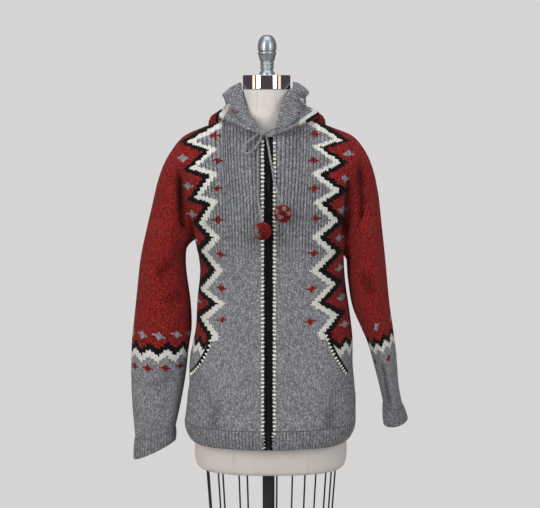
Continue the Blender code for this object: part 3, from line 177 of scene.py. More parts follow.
LEFT_HOOD = [
    (0.00, (0.0120, -0.0900, 1.3460), (0.0140, -0.0920, 1.3490), (0.0148, -0.0925, 1.3510),
     (0.0150, -0.0925, 1.3530), (0.0130, -0.0885, 1.3580)),
    (0.16, (0.0440, -0.0840, 1.3580), (0.0450, -0.0860, 1.3620), (0.0425, -0.0855, 1.3655),
     (0.0430, -0.0895, 1.3710), (0.0190, -0.0800, 1.3800)),
    (0.30, (0.0700, -0.0590, 1.3690), (0.0730, -0.0600, 1.3750), (0.0640, -0.0570, 1.3800),
     (0.0655, -0.0630, 1.3890), (0.0265, -0.0680, 1.4040)),
    (0.42, (0.0920, -0.0280, 1.3760), (0.0940, -0.0270, 1.3840), (0.0700, -0.0220, 1.3970),
     (0.0715, -0.0320, 1.4110), (0.0400, -0.0480, 1.4300)),
    (0.47, (0.1005, -0.0080, 1.3780), (0.1050, -0.0040, 1.3870), (0.0710, -0.0030, 1.4050),
     (0.0790, -0.0160, 1.4270), (0.0490, -0.0270, 1.4430)),
    (0.52, (0.1080, 0.0120, 1.3790), (0.1130, 0.0200, 1.3880), (0.0720, 0.0170, 1.4110),
     (0.0895, -0.0020, 1.4400), (0.0560, -0.0020, 1.4530)),
    (0.57, (0.1150, 0.0360, 1.3640), (0.1200, 0.0460, 1.3830), (0.0740, 0.0390, 1.4130),
     (0.0800, 0.0240, 1.4460), (0.0565, 0.0200, 1.4570)),
    (0.62, (0.1180, 0.0600, 1.3480), (0.1255, 0.0720, 1.3760), (0.0790, 0.0620, 1.4080),
     (0.0765, 0.0470, 1.4420), (0.0550, 0.0380, 1.4570)),
    (0.75, (0.1150, 0.1230, 1.2980), (0.1200, 0.1400, 1.3380), (0.0850, 0.1130, 1.3930),
     (0.0820, 0.0970, 1.4160), (0.0560, 0.0700, 1.4420)),
    (0.88, (0.0700, 0.1520, 1.2620), (0.0700, 0.1740, 1.3080), (0.0560, 0.1480, 1.3820),
     (0.0520, 0.1340, 1.4020), (0.0350, 0.0980, 1.4260)),
    (1.00, (0.0, 0.1600, 1.2500), (0.0, 0.1830, 1.2980), (0.0, 0.1560, 1.3790),
     (0.0, 0.1420, 1.3990), (0.0, 0.1070, 1.4230)),
]
HOOD_ROWS = 8

# Zip
ZIP_BAND_INSIDE = 0.0015
ZIP_BAND_OUTSIDE = 0.0095
CHAIN_HALF = 0.0012

# Pocket edges on the fronts, as shares across and up the lower front
POCKET_EDGE_CLOTH = 0.0021
POCKET_EDGE_LIFT = 0.0010
RIGHT_POCKET = [
    (0.550, 0.492), (0.550, 0.465), (0.564, 0.430), (0.592, 0.393), (0.632, 0.354), (0.700, 0.310),
    (0.789, 0.275),
]
LEFT_POCKET = [
    (0.490, 0.562), (0.503, 0.533), (0.519, 0.498), (0.545, 0.460), (0.582, 0.420), (0.628, 0.378),
    (0.708, 0.312),
]

# Drawstring, as x and z; its y follows the chest
CHEST_HALF = 0.160
CHEST_SQUARENESS = 2.4
CORD_DIAMETER = 0.005
KNOT = (-0.0135, 1.3510)
KNOT_RADIUS = 0.0062
KNOT_OFF_CLOTH = 0.0085
CORD_OFF_CLOTH = 0.0024
CORD_OFF_KNOT = 0.0005
CORD_LIFT_AT_POMPOM = 0.6
CORD_STEP = 0.011
BEND_STEP = 0.008
CORD_SIDES = 14
CORD_TWIST = 0.0085
PLY_DEPTH = 0.16
KNOT_SCALE = 0.00148
KNOT_DEPTH = 1.2
KNOT_CORD_RADIUS = 0.0021
RIGHT_CORD = [
    (-0.0155, 1.3430), (-0.0205, 1.3290), (-0.0222, 1.3110), (-0.0222, 1.2830), (-0.0222, 1.2520),
    (-0.0210, 1.2080), (-0.0165, 1.1880), (-0.0130, 1.1720),
]
LEFT_CORD = [
    (-0.0060, 1.3450), (-0.0016, 1.3300), (0.0030, 1.3030), (0.0088, 1.2740),
    (0.0120, 1.2520), (0.0180, 1.2330), (0.0290, 1.2070),
]
# The bow's loop and the tie to the left of the knot, as x, z and how far they stand off the cloth
BOW = [
    (-0.0210, 1.3490, 0.0060), (-0.0330, 1.3410, 0.0040), (-0.0460, 1.3300, 0.0020),
    (-0.0530, 1.3190, 0.0010), (-0.0505, 1.3110, 0.0010), (-0.0400, 1.3110, 0.0030),
    (-0.0290, 1.3190, 0.0065), (-0.0215, 1.3300, 0.0085), (-0.0160, 1.3400, 0.0115),
]
TIE = [
    (-0.0070, 1.3530, 0.0075), (0.0020, 1.3560, 0.0080), (0.0110, 1.3600, 0.0080),
    (0.0170, 1.3640, 0.0080),
]
POMPOM_RADIUS = 0.018
POMPOM_OFF_CLOTH = 0.0025
RIGHT_POMPOM = (-0.0128, 1.1520)
LEFT_POMPOM = (0.0295, 1.1880)

# Dress form: height, middle x, half width, front depth, back depth, squareness
TORSO_SECTIONS = [
    (0.6120, 0.005, 0.1600, 0.092, 0.092, 2.6),
    (0.6200, 0.005, 0.1660, 0.098, 0.097, 2.6),
    (0.6400, 0.005, 0.1690, 0.101, 0.099, 2.6),
    (0.6800, 0.005, 0.1680, 0.102, 0.100, 2.5),
    (0.7600, 0.003, 0.1620, 0.101, 0.096, 2.4),
    (0.8400, 0.002, 0.1450, 0.094, 0.086, 2.3),
    (0.9200, 0.001, 0.1240, 0.086, 0.077, 2.2),
    (1.0000, 0.0, 0.1270, 0.093, 0.079, 2.2),
    (1.0800, 0.0, 0.1400, 0.107, 0.084, 2.2),
    (1.1400, 0.0, 0.1460, 0.104, 0.084, 2.1),
    (1.2200, 0.0, 0.1560, 0.091, 0.080, 2.0),
    (1.2900, 0.0, 0.1680, 0.071, 0.063, 1.7),
    (1.3200, 0.0, 0.1720, 0.064, 0.054, 1.5),
    (1.3350, 0.0, 0.1680, 0.060, 0.049, 1.4),
    (1.3480, -0.001, 0.1490, 0.057, 0.046, 1.4),
    (1.3590, -0.002, 0.1200, 0.056, 0.045, 1.4),
    (1.3690, -0.003, 0.0900, 0.055, 0.047, 1.6),
    (1.3850, -0.004, 0.0640, 0.054, 0.051, 2.0),
    (1.4050, -0.004, 0.0540, 0.0515, 0.051, 2.0),
    (1.4412, -0.004, 0.0510, 0.0500, 0.051, 2.0),
]
LINEN_THREAD = 0.0011
TORSO_ROWS = 150
TORSO_SIDES = 128
# Places of the upright seams as shares of a turn from the front, the neck seam and the thread
TORSO_SEAMS = (0.064, 0.936, 0.5, 0.436, 0.564, 0.25, 0.75)
NECK_SEAM_Z = 1.385
NECK_SEAM_DIP = 0.012
NECK_SEAM_LIFT = 0.004
SEAM_THREAD_RADIUS = 0.00045
NECK_X = -0.004
CAP_RADIUS = 0.051
CAP_BOTTOM = 1.4415
CAP_TOP = 1.4715
CAP_EDGE = 0.0008
FINIAL_BOTTOM = 1.4718
FINIAL_SHIFT = 0.001
# radius and height of the turned finial above the cap
FINIAL_PROFILE = [
    (0.0, 0.0850), (0.0085, 0.0835), (0.0145, 0.0785), (0.0185, 0.0700), (0.0201, 0.0600),
    (0.0196, 0.0520), (0.0172, 0.0505), (0.0192, 0.0485), (0.0180, 0.0400), (0.0150, 0.0300),
    (0.0135, 0.0270), (0.0155, 0.0240), (0.0135, 0.0205), (0.0150, 0.0160), (0.0125, 0.0110),
    (0.0165, 0.0050), (0.0165, 0.0), (0.0, 0.0),
]

# Stand
POLE_RADIUS = 0.0135
BASE_RADIUS = 0.175
BASE_EDGE = 0.010
BASE_HUB_RADIUS = 0.030
BASE_TOP = 0.040
CAGE_WIRES = 14
CAGE_START = math.radians(-72)
CAGE_WIRE_RADIUS = 0.0019
CAGE_TOP = (0.146, 0.082)
CAGE_BOTTOM = (0.118, 0.072)
CAGE_MIDDLE_X = 0.005
CAGE_RING_Z = 0.200
CAGE_RING_WIRE = 0.003
CAGE_RING_STEPS = 96
CAGE_SPOKE_RADIUS = 0.0025
CAGE_WIRE_GAP = 0.0005
COLLAR_RADIUS = 0.022
COLLAR_HEIGHT = 0.024


def unit(vectors):
    """Vectors of length one, along the last axis."""
    vectors = np.asarray(vectors, float)
    length = np.linalg.norm(vectors, axis=-1, keepdims=True)
    return vectors / np.maximum(length, 1e-12)


def smooth_step(value):
    value = np.clip(value, 0.0, 1.0)
    return value * value * (3.0 - 2.0 * value)


def blend(value, span):
    """0 below a span, 1 above it and a smooth step between."""
    return smooth_step((value - span[0]) / (span[1] - span[0]))


def spline(points, shares, places=None):
    """Points of a Catmull-Rom curve through the given points, at shares of its length or of places."""
    points = np.asarray(points, float)
    if places is None:
        steps = np.linalg.norm(np.diff(points, axis=0), axis=1)
        places = np.concatenate([[0.0], np.cumsum(steps)]) / steps.sum()
    places = np.asarray(places, float)
    slopes = np.gradient(points, places, axis=0)
    found = []
    for share in np.atleast_1d(shares):
        i = int(np.clip(np.searchsorted(places, share) - 1, 0, len(points) - 2))
        gap = places[i + 1] - places[i]
        t = (share - places[i]) / gap
        first = (1 + 2 * t) * (1 - t) ** 2 * points[i] + t * (1 - t) ** 2 * gap * slopes[i]
        second = t * t * (3 - 2 * t) * points[i + 1] - t * t * (1 - t) * gap * slopes[i + 1]
        found.append(first + second)
    return np.array(found)


def section_point(half, depth, squareness, angle):
    """x and y of a superellipse; the angle runs from the front to the side."""
    across = abs(math.sin(angle)) ** (2.0 / squareness) * math.copysign(half, math.sin(angle))
    along = abs(math.cos(angle)) ** (2.0 / squareness) * math.copysign(depth, -math.cos(angle))
    return across, along


def body_section(z):
    """Reach right, reach left, front depth, back depth and squareness at a height."""
    table = np.array(BODY_SECTIONS)
    return spline(table[:, 1:], [z], table[:, 0])[0]


def body_point(angle, z):
    """A point of the lower body's outer face; the angle is 0 in front and 90 degrees at the left."""
    right, left, front, back, squareness = body_section(z)
    half = left if math.sin(angle) > 0 else right
    depth = front if math.cos(angle) > 0 else back
    x, y = section_point(half, depth, squareness, angle)
    return np.array([x, y, z])


def underarm_height(angle):
    return UNDERARM_Z - UNDERARM_LEAN * math.sin(angle)


def run_lengths(points):
    """How far along a line of points each of them lies."""
    steps = np.linalg.norm(np.diff(points, axis=0), axis=1)
    return np.concatenate([[0.0], np.cumsum(steps)])


def even_angles(z, first, last, count):
    """Angles that part the section between two angles into steps of equal length."""
    angles = np.linspace(first, last, 181)
    length = run_lengths(np.array([body_point(a, z) for a in angles]))
    return np.interp(np.linspace(0.0, length[-1], count + 1), length, angles)


def zip_angle(z, side):
    """The angle at which the section reaches the outer edge of the zip band."""
    right, left, _, _, squareness = body_section(z)
    share = (ZIP_BAND_OUTSIDE + SEAM_GAP) / (left if side == "left" else right)
    return math.asin(share ** (squareness / 2.0))


def side_sign(side):
    return 1.0 if side == "left" else -1.0


def shoulder_curve(side):
    table = LEFT_SHOULDER if side == "left" else RIGHT_SHOULDER
    return [(side_sign(side) * x, 0.0, z) for x, z in table]


def mirrored(points, side):
    return [(side_sign(side) * x, y, z) for x, y, z in points]


def front_top(side):
    """The front's upper edge: neckline from the zip, then the shoulder line."""
    neck = spline(mirrored(FRONT_NECKLINE, side), np.linspace(0, 1, FRONT_NECK_COLUMNS + 1))
    shoulder = spline(
        shoulder_curve(side), np.linspace(0, 1, FRONT_COLUMNS - FRONT_NECK_COLUMNS + 1)
    )
    return np.concatenate([neck, shoulder[1:]])


def back_top():
    """The back's upper edge, from the right dropped seam over the neck to the left one."""
    steps = np.linspace(0, 1, BACK_SHOULDER_COLUMNS + 1)
    half_neck = np.linspace(0, 1, (BACK_COLUMNS - 2 * BACK_SHOULDER_COLUMNS) // 2 + 1)
    right = spline(shoulder_curve("right"), steps)[::-1]
    right_neck = spline(mirrored(BACK_NECKLINE, "right"), half_neck)
    left_neck = spline(mirrored(BACK_NECKLINE, "left"), half_neck)[::-1]
    left = spline(shoulder_curve("left"), steps)
    return np.concatenate([right, right_neck[1:], left_neck[1:], left[1:]])


def upper_column(bottom, top, toward, share):
    """One column from the underarm level to the upper edge, as a cubic with UPPER_ROWS steps.

    toward is FORWARD on a front and its opposite on the back. share runs from 0 at the middle to 1
    at the armhole, where the column is half of the armhole's oval.
    """
    near_neck = 1.0 - blend(share, NECK_BLEND)
    low_arm = blend(share, LOW_ARM_BLEND)
    near_arm = blend(share, ARM_BLEND)
    arm = toward * ARMHOLE_DEPTH * 4.0 / 3.0
    rise = UP * CHEST_RISE * (top[2] - bottom[2])
    leave = rise * (1.0 - low_arm) + arm * low_arm
    over_shoulder = toward * OVER_SHOULDER[0] - UP * OVER_SHOULDER[1]
    up_neck = toward * UP_NECK[0] - UP * UP_NECK[1]
    arrive = over_shoulder * (1.0 - near_neck) + up_neck * near_neck
    arrive = arrive * (1.0 - near_arm) + arm * near_arm
    t = np.linspace(0.0, 1.0, UPPER_ROWS + 1)[:, None]
    return (
        (1 - t) ** 3 * bottom
        + 3 * t * (1 - t) ** 2 * (bottom + leave)
        + 3 * t * t * (1 - t) * (top + arrive)
        + t**3 * top
    )


def body_grid(angles_of, columns, tops, toward, middle_shares):
    """A panel's points [column][row], from the hem seam to its upper edge."""
    grid = np.zeros((columns + 1, LOWER_ROWS + UPPER_ROWS + 1, 3))
    shares = np.linspace(0.0, 1.0, LOWER_ROWS + 1)
    top_angles = angles_of(UNDERARM_Z)
    for i in range(columns + 1):
        peak = underarm_height(top_angles[i])
        for j, share in enumerate(shares):
            z = HEM_SEAM_Z + share * (peak - HEM_SEAM_Z)
            grid[i, j] = body_point(angles_of(z)[i], z)
        grid[i, LOWER_ROWS:] = upper_column(
            grid[i, LOWER_ROWS], tops[i], toward, middle_shares[i]
        )
    return grid


def kept_angles(first_of, last, columns):
    """A panel's column angles at a height, kept once they are found."""
    kept = {}

    def angles_of(z):
        key = round(z, 6)
        if key not in kept:
            kept[key] = even_angles(z, first_of(z), last, columns)
        return kept[key]

    return angles_of


def front_grid(side):
    sign = side_sign(side)
    angles_of = kept_angles(lambda z: sign * zip_angle(z, side), sign * math.pi / 2, FRONT_COLUMNS)
    shares = np.linspace(0.0, 1.0, FRONT_COLUMNS + 1)
    return body_grid(angles_of, FRONT_COLUMNS, front_top(side), FORWARD, shares)


def back_grid():
    angles_of = kept_angles(lambda z: -math.pi / 2, -3 * math.pi / 2, BACK_COLUMNS)
    shares = np.abs(np.linspace(-1.0, 1.0, BACK_COLUMNS + 1))
    return body_grid(angles_of, BACK_COLUMNS, back_top(), -FORWARD, shares)


def grid_normals(grid, turn=1.0, closed=False):
    """Unit normals of a grid of points [column][row]; turn is -1 where columns run the other way."""
    if closed:
        across = np.roll(grid, -1, axis=0) - np.roll(grid, 1, axis=0)
    else:
        across = np.gradient(grid, axis=0)
    up = np.gradient(grid, axis=1)
    return unit(turn * np.cross(across, up))


def sleeve_ring(row, columns):
    """Points round one sleeve ring, from its inner side over the front to the outer side and back."""
    outer_x, outer_z, inner_x, inner_z, middle_y, half_depth = row
    outer = np.array([outer_x, middle_y, outer_z])
    inner = np.array([inner_x, middle_y, inner_z])
    turns = np.linspace(0.0, 2.0 * math.pi, columns, endpoint=False)[:, None]
    across = (outer - inner) / 2.0
    return (outer + inner) / 2.0 - across * np.cos(turns) + FORWARD * half_depth * np.sin(turns)


def hood_shares():
    """Each hood column's share of the way from the zip to the back's middle, and its side."""
    front = np.linspace(0.0, 0.5, FRONT_NECK_COLUMNS + 1)
    neck_columns = BACK_COLUMNS - 2 * BACK_SHOULDER_COLUMNS
    back = np.linspace(0.5, 1.0, neck_columns // 2 + 1)
    half = np.concatenate([front, back[1:]])
    signs = np.concatenate([-np.ones(len(half)), np.ones(len(half) - 1)])
    return np.concatenate([half, half[-2::-1]]), signs


def hood_station(share, sign, which):
    """A point of one of the hood's lengthwise lines."""
    rows = RIGHT_HOOD if sign < 0 else LEFT_HOOD
    places = [row[0] for row in rows]
    points = [row[which] for row in rows]
    x, y, z = spline(points, [share], places)[0]
    return np.array([sign * x, y, z])


# Knit gauge and fineness
STITCH = 0.0040
ROW = 0.0033
FRONT_STITCHES = 64
BACK_STITCHES = 96
SLEEVE_STITCHES = 100
LOWER_COURSES = 112
UPPER_COURSES = 78
FINE = 24
STITCH_SLANT = 0.62
SLEEVE_COURSES = {"right": 138, "left": 128}
CUFF_RIBS = {"right": 40, "left": 38}
CUFF_COURSES = {"right": 14, "left": 13}
HEM_RIBS = 136
HEM_COURSES = 13
HOOD_STITCHES = 180
HOOD_COURSES = 66
HOOD_BAND_COURSES = 14
HOOD_RIB = 0.0068
# Height of the ribs on each piece, and the swell of the bands, as shares or metres
FRONT_RIB_SHARE = 0.85
LOW_RIB_SHARE = 0.5
RIBS_UNDER_COLOURWORK = 0.80
BAND_RIB_SHARE = 0.55
HOOD_RIB_SHARE = 0.75
CUFF_SWELL = 0.0012
CUFF_LIFT = 0.0006
HEM_SWELL = 0.0022
HEM_WAVE = 0.0012
HOOD_BAND_SWELL = 0.0030
HOOD_BAND_FULL_WIDTH = 0.018
RIM_SHARE = 0.35
# Painted shade: how much darker the purl columns, the folds, the seams and the inner face are coloured
FRONT_PURL_SHADE = 0.74
PURL_SHADE = 0.62
FOLD_SHADE = (-0.0065, 140)
BACK_FOLD_SHADE = (-0.004, 50)
HOOD_FOLD_SHADE = (-0.004, 60)
CUFF_SEAM_SHADE = 0.55
HEM_SEAM_SHADE = 0.45
HOOD_SEAM_SHADE = 0.8
INNER_SHADE = 0.72
GREY, RED, BLACK, CREAM = 0, 1, 2, 3

# Cream zigzag's middle line on each front from the shoulder down, as x and z
RIGHT_ZIGZAG = [
    (-0.1012, 1.3660), (-0.1650, 1.3315), (-0.1160, 1.3160), (-0.1575, 1.2780), (-0.1140, 1.2665),
    (-0.1490, 1.2170), (-0.1130, 1.2085), (-0.1405, 1.1612), (-0.1090, 1.1335), (-0.1365, 1.1000),
    (-0.1028, 1.0635), (-0.1395, 1.0170), (-0.1000, 0.9932), (-0.1395, 0.9545), (-0.1110, 0.9225),
    (-0.1200, 0.9100),
]
LEFT_ZIGZAG = [
    (0.0815, 1.3760), (0.1485, 1.3355), (0.0985, 1.3228), (0.1450, 1.2900), (0.0980, 1.2658),
    (0.1430, 1.2308), (0.1022, 1.2068), (0.1395, 1.1672), (0.0982, 1.1352), (0.1352, 1.0988),
    (0.0955, 1.0642), (0.1363, 1.0310), (0.0958, 0.9940), (0.1413, 0.9645), (0.1098, 0.9290),
    (0.1200, 0.9150),
]
CREAM_REACH = 0.0058
BLACK_REACH = 0.0178
TIP_REACH = 1.45
# Middles of the small five-stitch diamonds on the fronts, as x and z
RIGHT_RED_DIAMONDS = [
    (-0.1127, 1.3439), (-0.1072, 1.2940), (-0.1078, 1.2362), (-0.1066, 1.1706), (-0.0999, 1.0986),
    (-0.0994, 1.0262), (-0.0984, 0.9581),
]
LEFT_RED_DIAMONDS = [
    (0.0980, 1.3479), (0.0939, 1.2941), (0.0959, 1.2368), (0.0986, 1.1734), (0.0927, 1.1011),
    (0.0916, 1.0257), (0.0876, 0.9567),
]
RIGHT_GREY_DIAMONDS = [
    (-0.1822, 1.2974), (-0.1712, 1.2388), (-0.1634, 1.1780), (-0.1640, 1.1200), (-0.1600, 1.0500),
    (-0.1560, 0.9878),
]
LEFT_GREY_DIAMONDS = [
    (0.1693, 1.3060), (0.1616, 1.2541), (0.1576, 1.1891), (0.1510, 1.1279), (0.1520, 1.0621),
    (0.1565, 0.9996), (0.1640, 0.9402),
]
DIAMOND_CELL = 0.0033
# Troughs and ridges of the cloth: start, end, width and height, the last below 0 for a trough
CREASE_TAPER = 0.25
FRONT_HALF = (-0.010, 0.020)
ARMHOLE_CREASES = {
    "right": [((-0.1935, None, 1.285), (-0.1800, None, 1.125), 0.0080, -0.0062)],
    "left": [
        ((0.1720, None, 1.270), (0.1620, None, 1.110), 0.0080, -0.0062),
        ((0.1960, None, 1.300), (0.1990, None, 1.150), 0.0080, -0.0050),
    ],
}
FRONT_CREASES = {
    "right": [
        ((-0.150, None, 1.300), (-0.158, None, 1.140), 0.018, 0.0030),
        ((-0.128, None, 1.090), (-0.168, None, 1.055), 0.012, -0.0030),
        ((-0.170, None, 0.800), (-0.150, None, 0.700), 0.016, 0.0030),
        ((-0.112, None, 0.790), (-0.118, None, 0.690), 0.014, -0.0022),
        ((-0.060, None, 1.330), (-0.052, None, 1.220), 0.018, 0.0020),
    ],
    "left": [
        ((0.147, None, 1.310), (0.150, None, 1.150), 0.018, 0.0028),
        ((0.150, None, 1.060), (0.172, None, 0.990), 0.012, -0.0026),
        ((0.178, None, 0.790), (0.168, None, 0.705), 0.016, 0.0030),
        ((0.135, None, 0.780), (0.130, None, 0.690), 0.013, -0.0022),
        ((0.070, None, 1.320), (0.060, None, 1.200), 0.016, 0.0018),
    ],
}
BACK_CREASES = [
    ((-0.150, None, 1.250), (-0.138, None, 1.090), 0.016, -0.0045),
    ((0.152, None, 1.240), (0.140, None, 1.070), 0.015, -0.0045),
    ((-0.060, None, 1.020), (-0.075, None, 0.760), 0.020, -0.0035),
    ((0.045, None, 1.040), (0.060, None, 0.790), 0.022, -0.0030),
    ((0.000, None, 0.980), (-0.006, None, 0.740), 0.020, 0.0030),
    ((0.120, None, 0.830), (0.128, None, 0.710), 0.016, 0.0030),
    ((-0.125, None, 0.850), (-0.130, None, 0.715), 0.017, 0.0026),
]
SLEEVE_CREASES = {
    "right": [
        ((-0.214, -0.060, 1.215), (-0.203, -0.070, 1.060), 0.014, 0.0035),
        ((-0.190, -0.064, 1.090), (-0.245, -0.070, 1.040), 0.013, -0.0035),
        ((-0.182, -0.050, 1.010), (-0.228, -0.066, 0.985), 0.014, -0.0030),
        ((-0.200, -0.050, 0.830), (-0.262, -0.058, 0.800), 0.016, -0.0022),
        ((-0.235, 0.060, 1.130), (-0.220, 0.055, 0.980), 0.016, -0.0040),
        ((-0.208, -0.042, 0.800), (-0.214, -0.040, 0.705), 0.010, 0.0022),
    ],
    "left": [
        ((0.205, -0.062, 1.230), (0.202, -0.076, 1.080), 0.014, 0.0035),
        ((0.196, -0.070, 1.060), (0.225, -0.080, 1.000), 0.011, -0.0035),
        ((0.238, -0.082, 0.870), (0.262, -0.062, 0.745), 0.007, -0.0045),
        ((0.226, -0.076, 0.860), (0.250, -0.058, 0.745), 0.007, 0.0028),
        ((0.230, 0.060, 1.120), (0.225, 0.062, 0.970), 0.016, -0.0040),
    ],
}
HOOD_CREASES = [
    ((-0.118, 0.030, 1.400), (-0.104, 0.120, 1.330), 0.012, -0.0045),
    ((0.116, 0.036, 1.395), (0.100, 0.130, 1.340), 0.012, -0.0045),
    ((-0.050, 0.150, 1.370), (0.040, 0.165, 1.340), 0.014, -0.0035),
    ((-0.070, -0.070, 1.372), (-0.030, -0.090, 1.358), 0.007, 0.0020),
    ((0.070, -0.068, 1.374), (0.034, -0.088, 1.360), 0.007, 0.0020),
]
DIAMOND = ["...X...", "..XXX..", "XXXXXXX", "..XXX..", "...X..."]
# Slant pocket openings, as x and z; outside them the side's own pattern shows
RIGHT_SLASH = [
    (-0.1240, 0.9150), (-0.1255, 0.9047), (-0.1303, 0.8917), (-0.1368, 0.8773), (-0.1443, 0.8644),
    (-0.1547, 0.8484), (-0.1671, 0.8307),
]
LEFT_SLASH = [
    (0.1246, 0.9284), (0.1279, 0.9176), (0.1313, 0.9052), (0.1372, 0.8912), (0.1453, 0.8756),
    (0.1543, 0.8601), (0.1682, 0.8354),
]
# The peaked band round the sides, the back and the sleeves: its middle's height and its sizes
BAND_Z = 0.8790
FRONT_BAND_Z = 0.8950
LEFT_BAND_Z = 0.9030
BAND_HALF_RISE = 0.0080
BAND_PERIOD = 10
BLACK_THICK = 0.0150
CREAM_THICK = 0.0150
GREY_DIAMOND_ABOVE = 0.0370
RED_DIAMOND_BELOW = 0.0350
FRONT_BAND_PHASE = 60.0
BACK_BAND_PHASE = 48
RIGHT_SLEEVE_PHASE = 25.0
# The left sleeve's band rises outwards: middle x, slope and the most that it rises or falls
LEFT_BAND_TILT = (0.245, 0.5, 0.012)
# The hood's band behind the neck, in shares of its height
HOOD_PERIOD = 11
HOOD_MIDDLE_STITCH = 90
HOOD_BAND_RUN = (0.38, 0.60)
HOOD_BAND_START = -0.16
HOOD_BAND_RISE = 0.92
HOOD_BAND_WAVE = 0.040
HOOD_CREAM_HALF = 0.042
HOOD_BLACK_FAR = 0.125
HOOD_DIAMOND_RISE = 0.13
# How far a colour's edge steps in and out from one course or stitch to the next
COURSE_JAG = 0.0011
STITCH_JAG = 0.0012
# The hood's sides as seen from the front: edges of the cream and the black, as x and z from the top
RIGHT_HOOD_CREAM_IN = [
    (-0.0792, 1.411), (-0.0839, 1.4026), (-0.0941, 1.3858), (-0.0984, 1.3732), (-0.1017, 1.3584),
]
RIGHT_HOOD_CREAM_OUT = [
    (-0.0898, 1.411), (-0.094, 1.4015), (-0.1051, 1.39), (-0.1084, 1.3774), (-0.1155, 1.3584),
]
RIGHT_HOOD_BLACK_OUT = [
    (-0.1046, 1.411), (-0.1097, 1.4005), (-0.1131, 1.39), (-0.1179, 1.3795), (-0.1282, 1.3584),
]
LEFT_HOOD_PEAK = [(0.0676, 1.4246), (0.1015, 1.3946), (0.072, 1.3778), (0.071, 1.3584)]
LEFT_HOOD_CREAM = 0.0070
LEFT_HOOD_BLACK = 0.0200
RIGHT_HOOD_PATTERN_TOP = 1.4100
LEFT_HOOD_PATTERN_TOP = 1.4215
HOOD_FRONT_REACH = 0.0300
LEFT_SLEEVE_DIAMOND = (0.2605, 0.8835)
HOOD_RED_DIAMONDS = [(-0.0747, 1.3927), (0.0713, 1.3916)]


def read_between(values, places, axis=0):
    """Values read at places between their rows by a smooth curve through them."""
    values = np.moveaxis(np.asarray(values, float), axis, 0)
    places = np.asarray(places, float)
    slopes = np.gradient(values, axis=0)
    i = np.clip(np.floor(places).astype(int), 0, len(values) - 2)
    t = (places - i).reshape((-1,) + (1,) * (values.ndim - 1))
    first = (1 + 2 * t) * (1 - t) ** 2 * values[i] + t * (1 - t) ** 2 * slopes[i]
    second = t * t * (3 - 2 * t) * values[i + 1] - t * t * (1 - t) * slopes[i + 1]
    return np.moveaxis(first + second, 0, axis)


def round_between(values, count):
    """A closed ring of columns read at count even places."""
    size = len(values)
    padded = np.concatenate([values[-3:], values, values[:3]])
    return read_between(padded, 3 + np.arange(count) * size / count)


def even_courses(grid, first, last, count):
    """Each column's stretch between two rows, parted into steps of equal length."""
    places = np.linspace(first, last, int((last - first) * FINE) + 1)
    dense = read_between(grid, places, axis=1)
    steps = np.linalg.norm(np.diff(dense, axis=1), axis=2)
    length = np.concatenate([np.zeros((len(dense), 1)), np.cumsum(steps, axis=1)], axis=1)
    out = np.empty((len(dense), count + 1, 3))
    for i in range(len(dense)):
        wanted = np.linspace(0.0, length[i, -1], count + 1)
        for k in range(3):
            out[i, :, k] = np.interp(wanted, length[i], dense[i, :, k])
    return out


def bump_along(points, start, end, width):
    """How near each point is to a line between two places, from 0 to 1; any coordinate may be None."""
    kept = [k for k in range(3) if start[k] is not None]
    a = np.array([start[k] for k in kept], float)
    b = np.array([end[k] for k in kept], float)
    spots = points[..., kept]
    way = b - a
    share = ((spots - a) @ way) / (way @ way)
    held = np.clip(share, 0.0, 1.0)
    gap = np.linalg.norm(spots - (a + held[..., None] * way), axis=-1)
    fade = smooth_step(share / CREASE_TAPER) * smooth_step((1 - share) / CREASE_TAPER)
    return np.exp(-((gap / width) ** 2)) * fade


def creased(grid, normals, creases, front_creases=()):
    """The grid with its soft troughs and ridges, some on its front half alone, and their lift."""
    lift = np.zeros(grid.shape[:2])
    for start, end, width, height in creases:
        lift += bump_along(grid, start, end, width) * height
    front = blend(-grid[..., 1], FRONT_HALF)
    for start, end, width, height in front_creases:
        lift += bump_along(grid, start, end, width) * height * front
    return grid + normals * lift[..., None], lift


def settle(name, mesh, material, sharp=55):
    mesh.shade_smooth()
    mesh.set_sharp_from_angle(angle=math.radians(sharp))
    mesh.materials.append(material)
    obj = bpy.data.objects.new(name, mesh)
    bpy.context.scene.collection.objects.link(obj)
    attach(obj, BODY)
    return obj


def mesh_of(name, verts, faces):
    mesh = bpy.data.meshes.new(name)
    mesh.from_pydata(np.asarray(verts).tolist(), [], faces)
    mesh.update()
    return mesh


def face_outward(mesh, merge=0.0):
    """Turns the faces outwards, once points nearer than a distance are joined."""
    bm = bmesh.new()
    bm.from_mesh(mesh)
    if merge:
        bmesh.ops.remove_doubles(bm, verts=bm.verts, dist=merge)
    bmesh.ops.recalc_face_normals(bm, faces=bm.faces)
    bm.to_mesh(mesh)
    bm.free()


def circle(spot, first, second, sides, start=0.0):
    """Points round a spot by two half axes."""
    turns = [start + 2 * math.pi * k / sides for k in range(sides)]
    return [spot + first * math.cos(a) + second * math.sin(a) for a in turns]


def tube_faces(base, rings, sides, closed=False, caps=True):
    """Faces between rings of points that follow each other from base on, and the two ends."""
    faces = []
    for j in range(rings if closed else rings - 1):
        a, b = base + j * sides, base + ((j + 1) % rings) * sides
        for k in range(sides):
            n = (k + 1) % sides
            faces.append((a + k, a + n, b + n, b + k))
    if caps and not closed:
        faces.append(tuple(range(base, base + sides))[::-1])
        faces.append(tuple(range(base + (rings - 1) * sides, base + rings * sides)))
    return faces


def line_place(line, length, run):
    return np.array([np.interp(run, length, line[:, k]) for k in range(3)])


def corner_map(mesh, name, values):
    layer = mesh.uv_layers.new(name=name)
    layer.data.foreach_set("uv", np.array(values, np.float32).reshape(-1))


def point_shade(mesh, values):
    shades = mesh.attributes.new("shade", "FLOAT", "POINT")
    shades.data.foreach_set("value", values.reshape(-1))


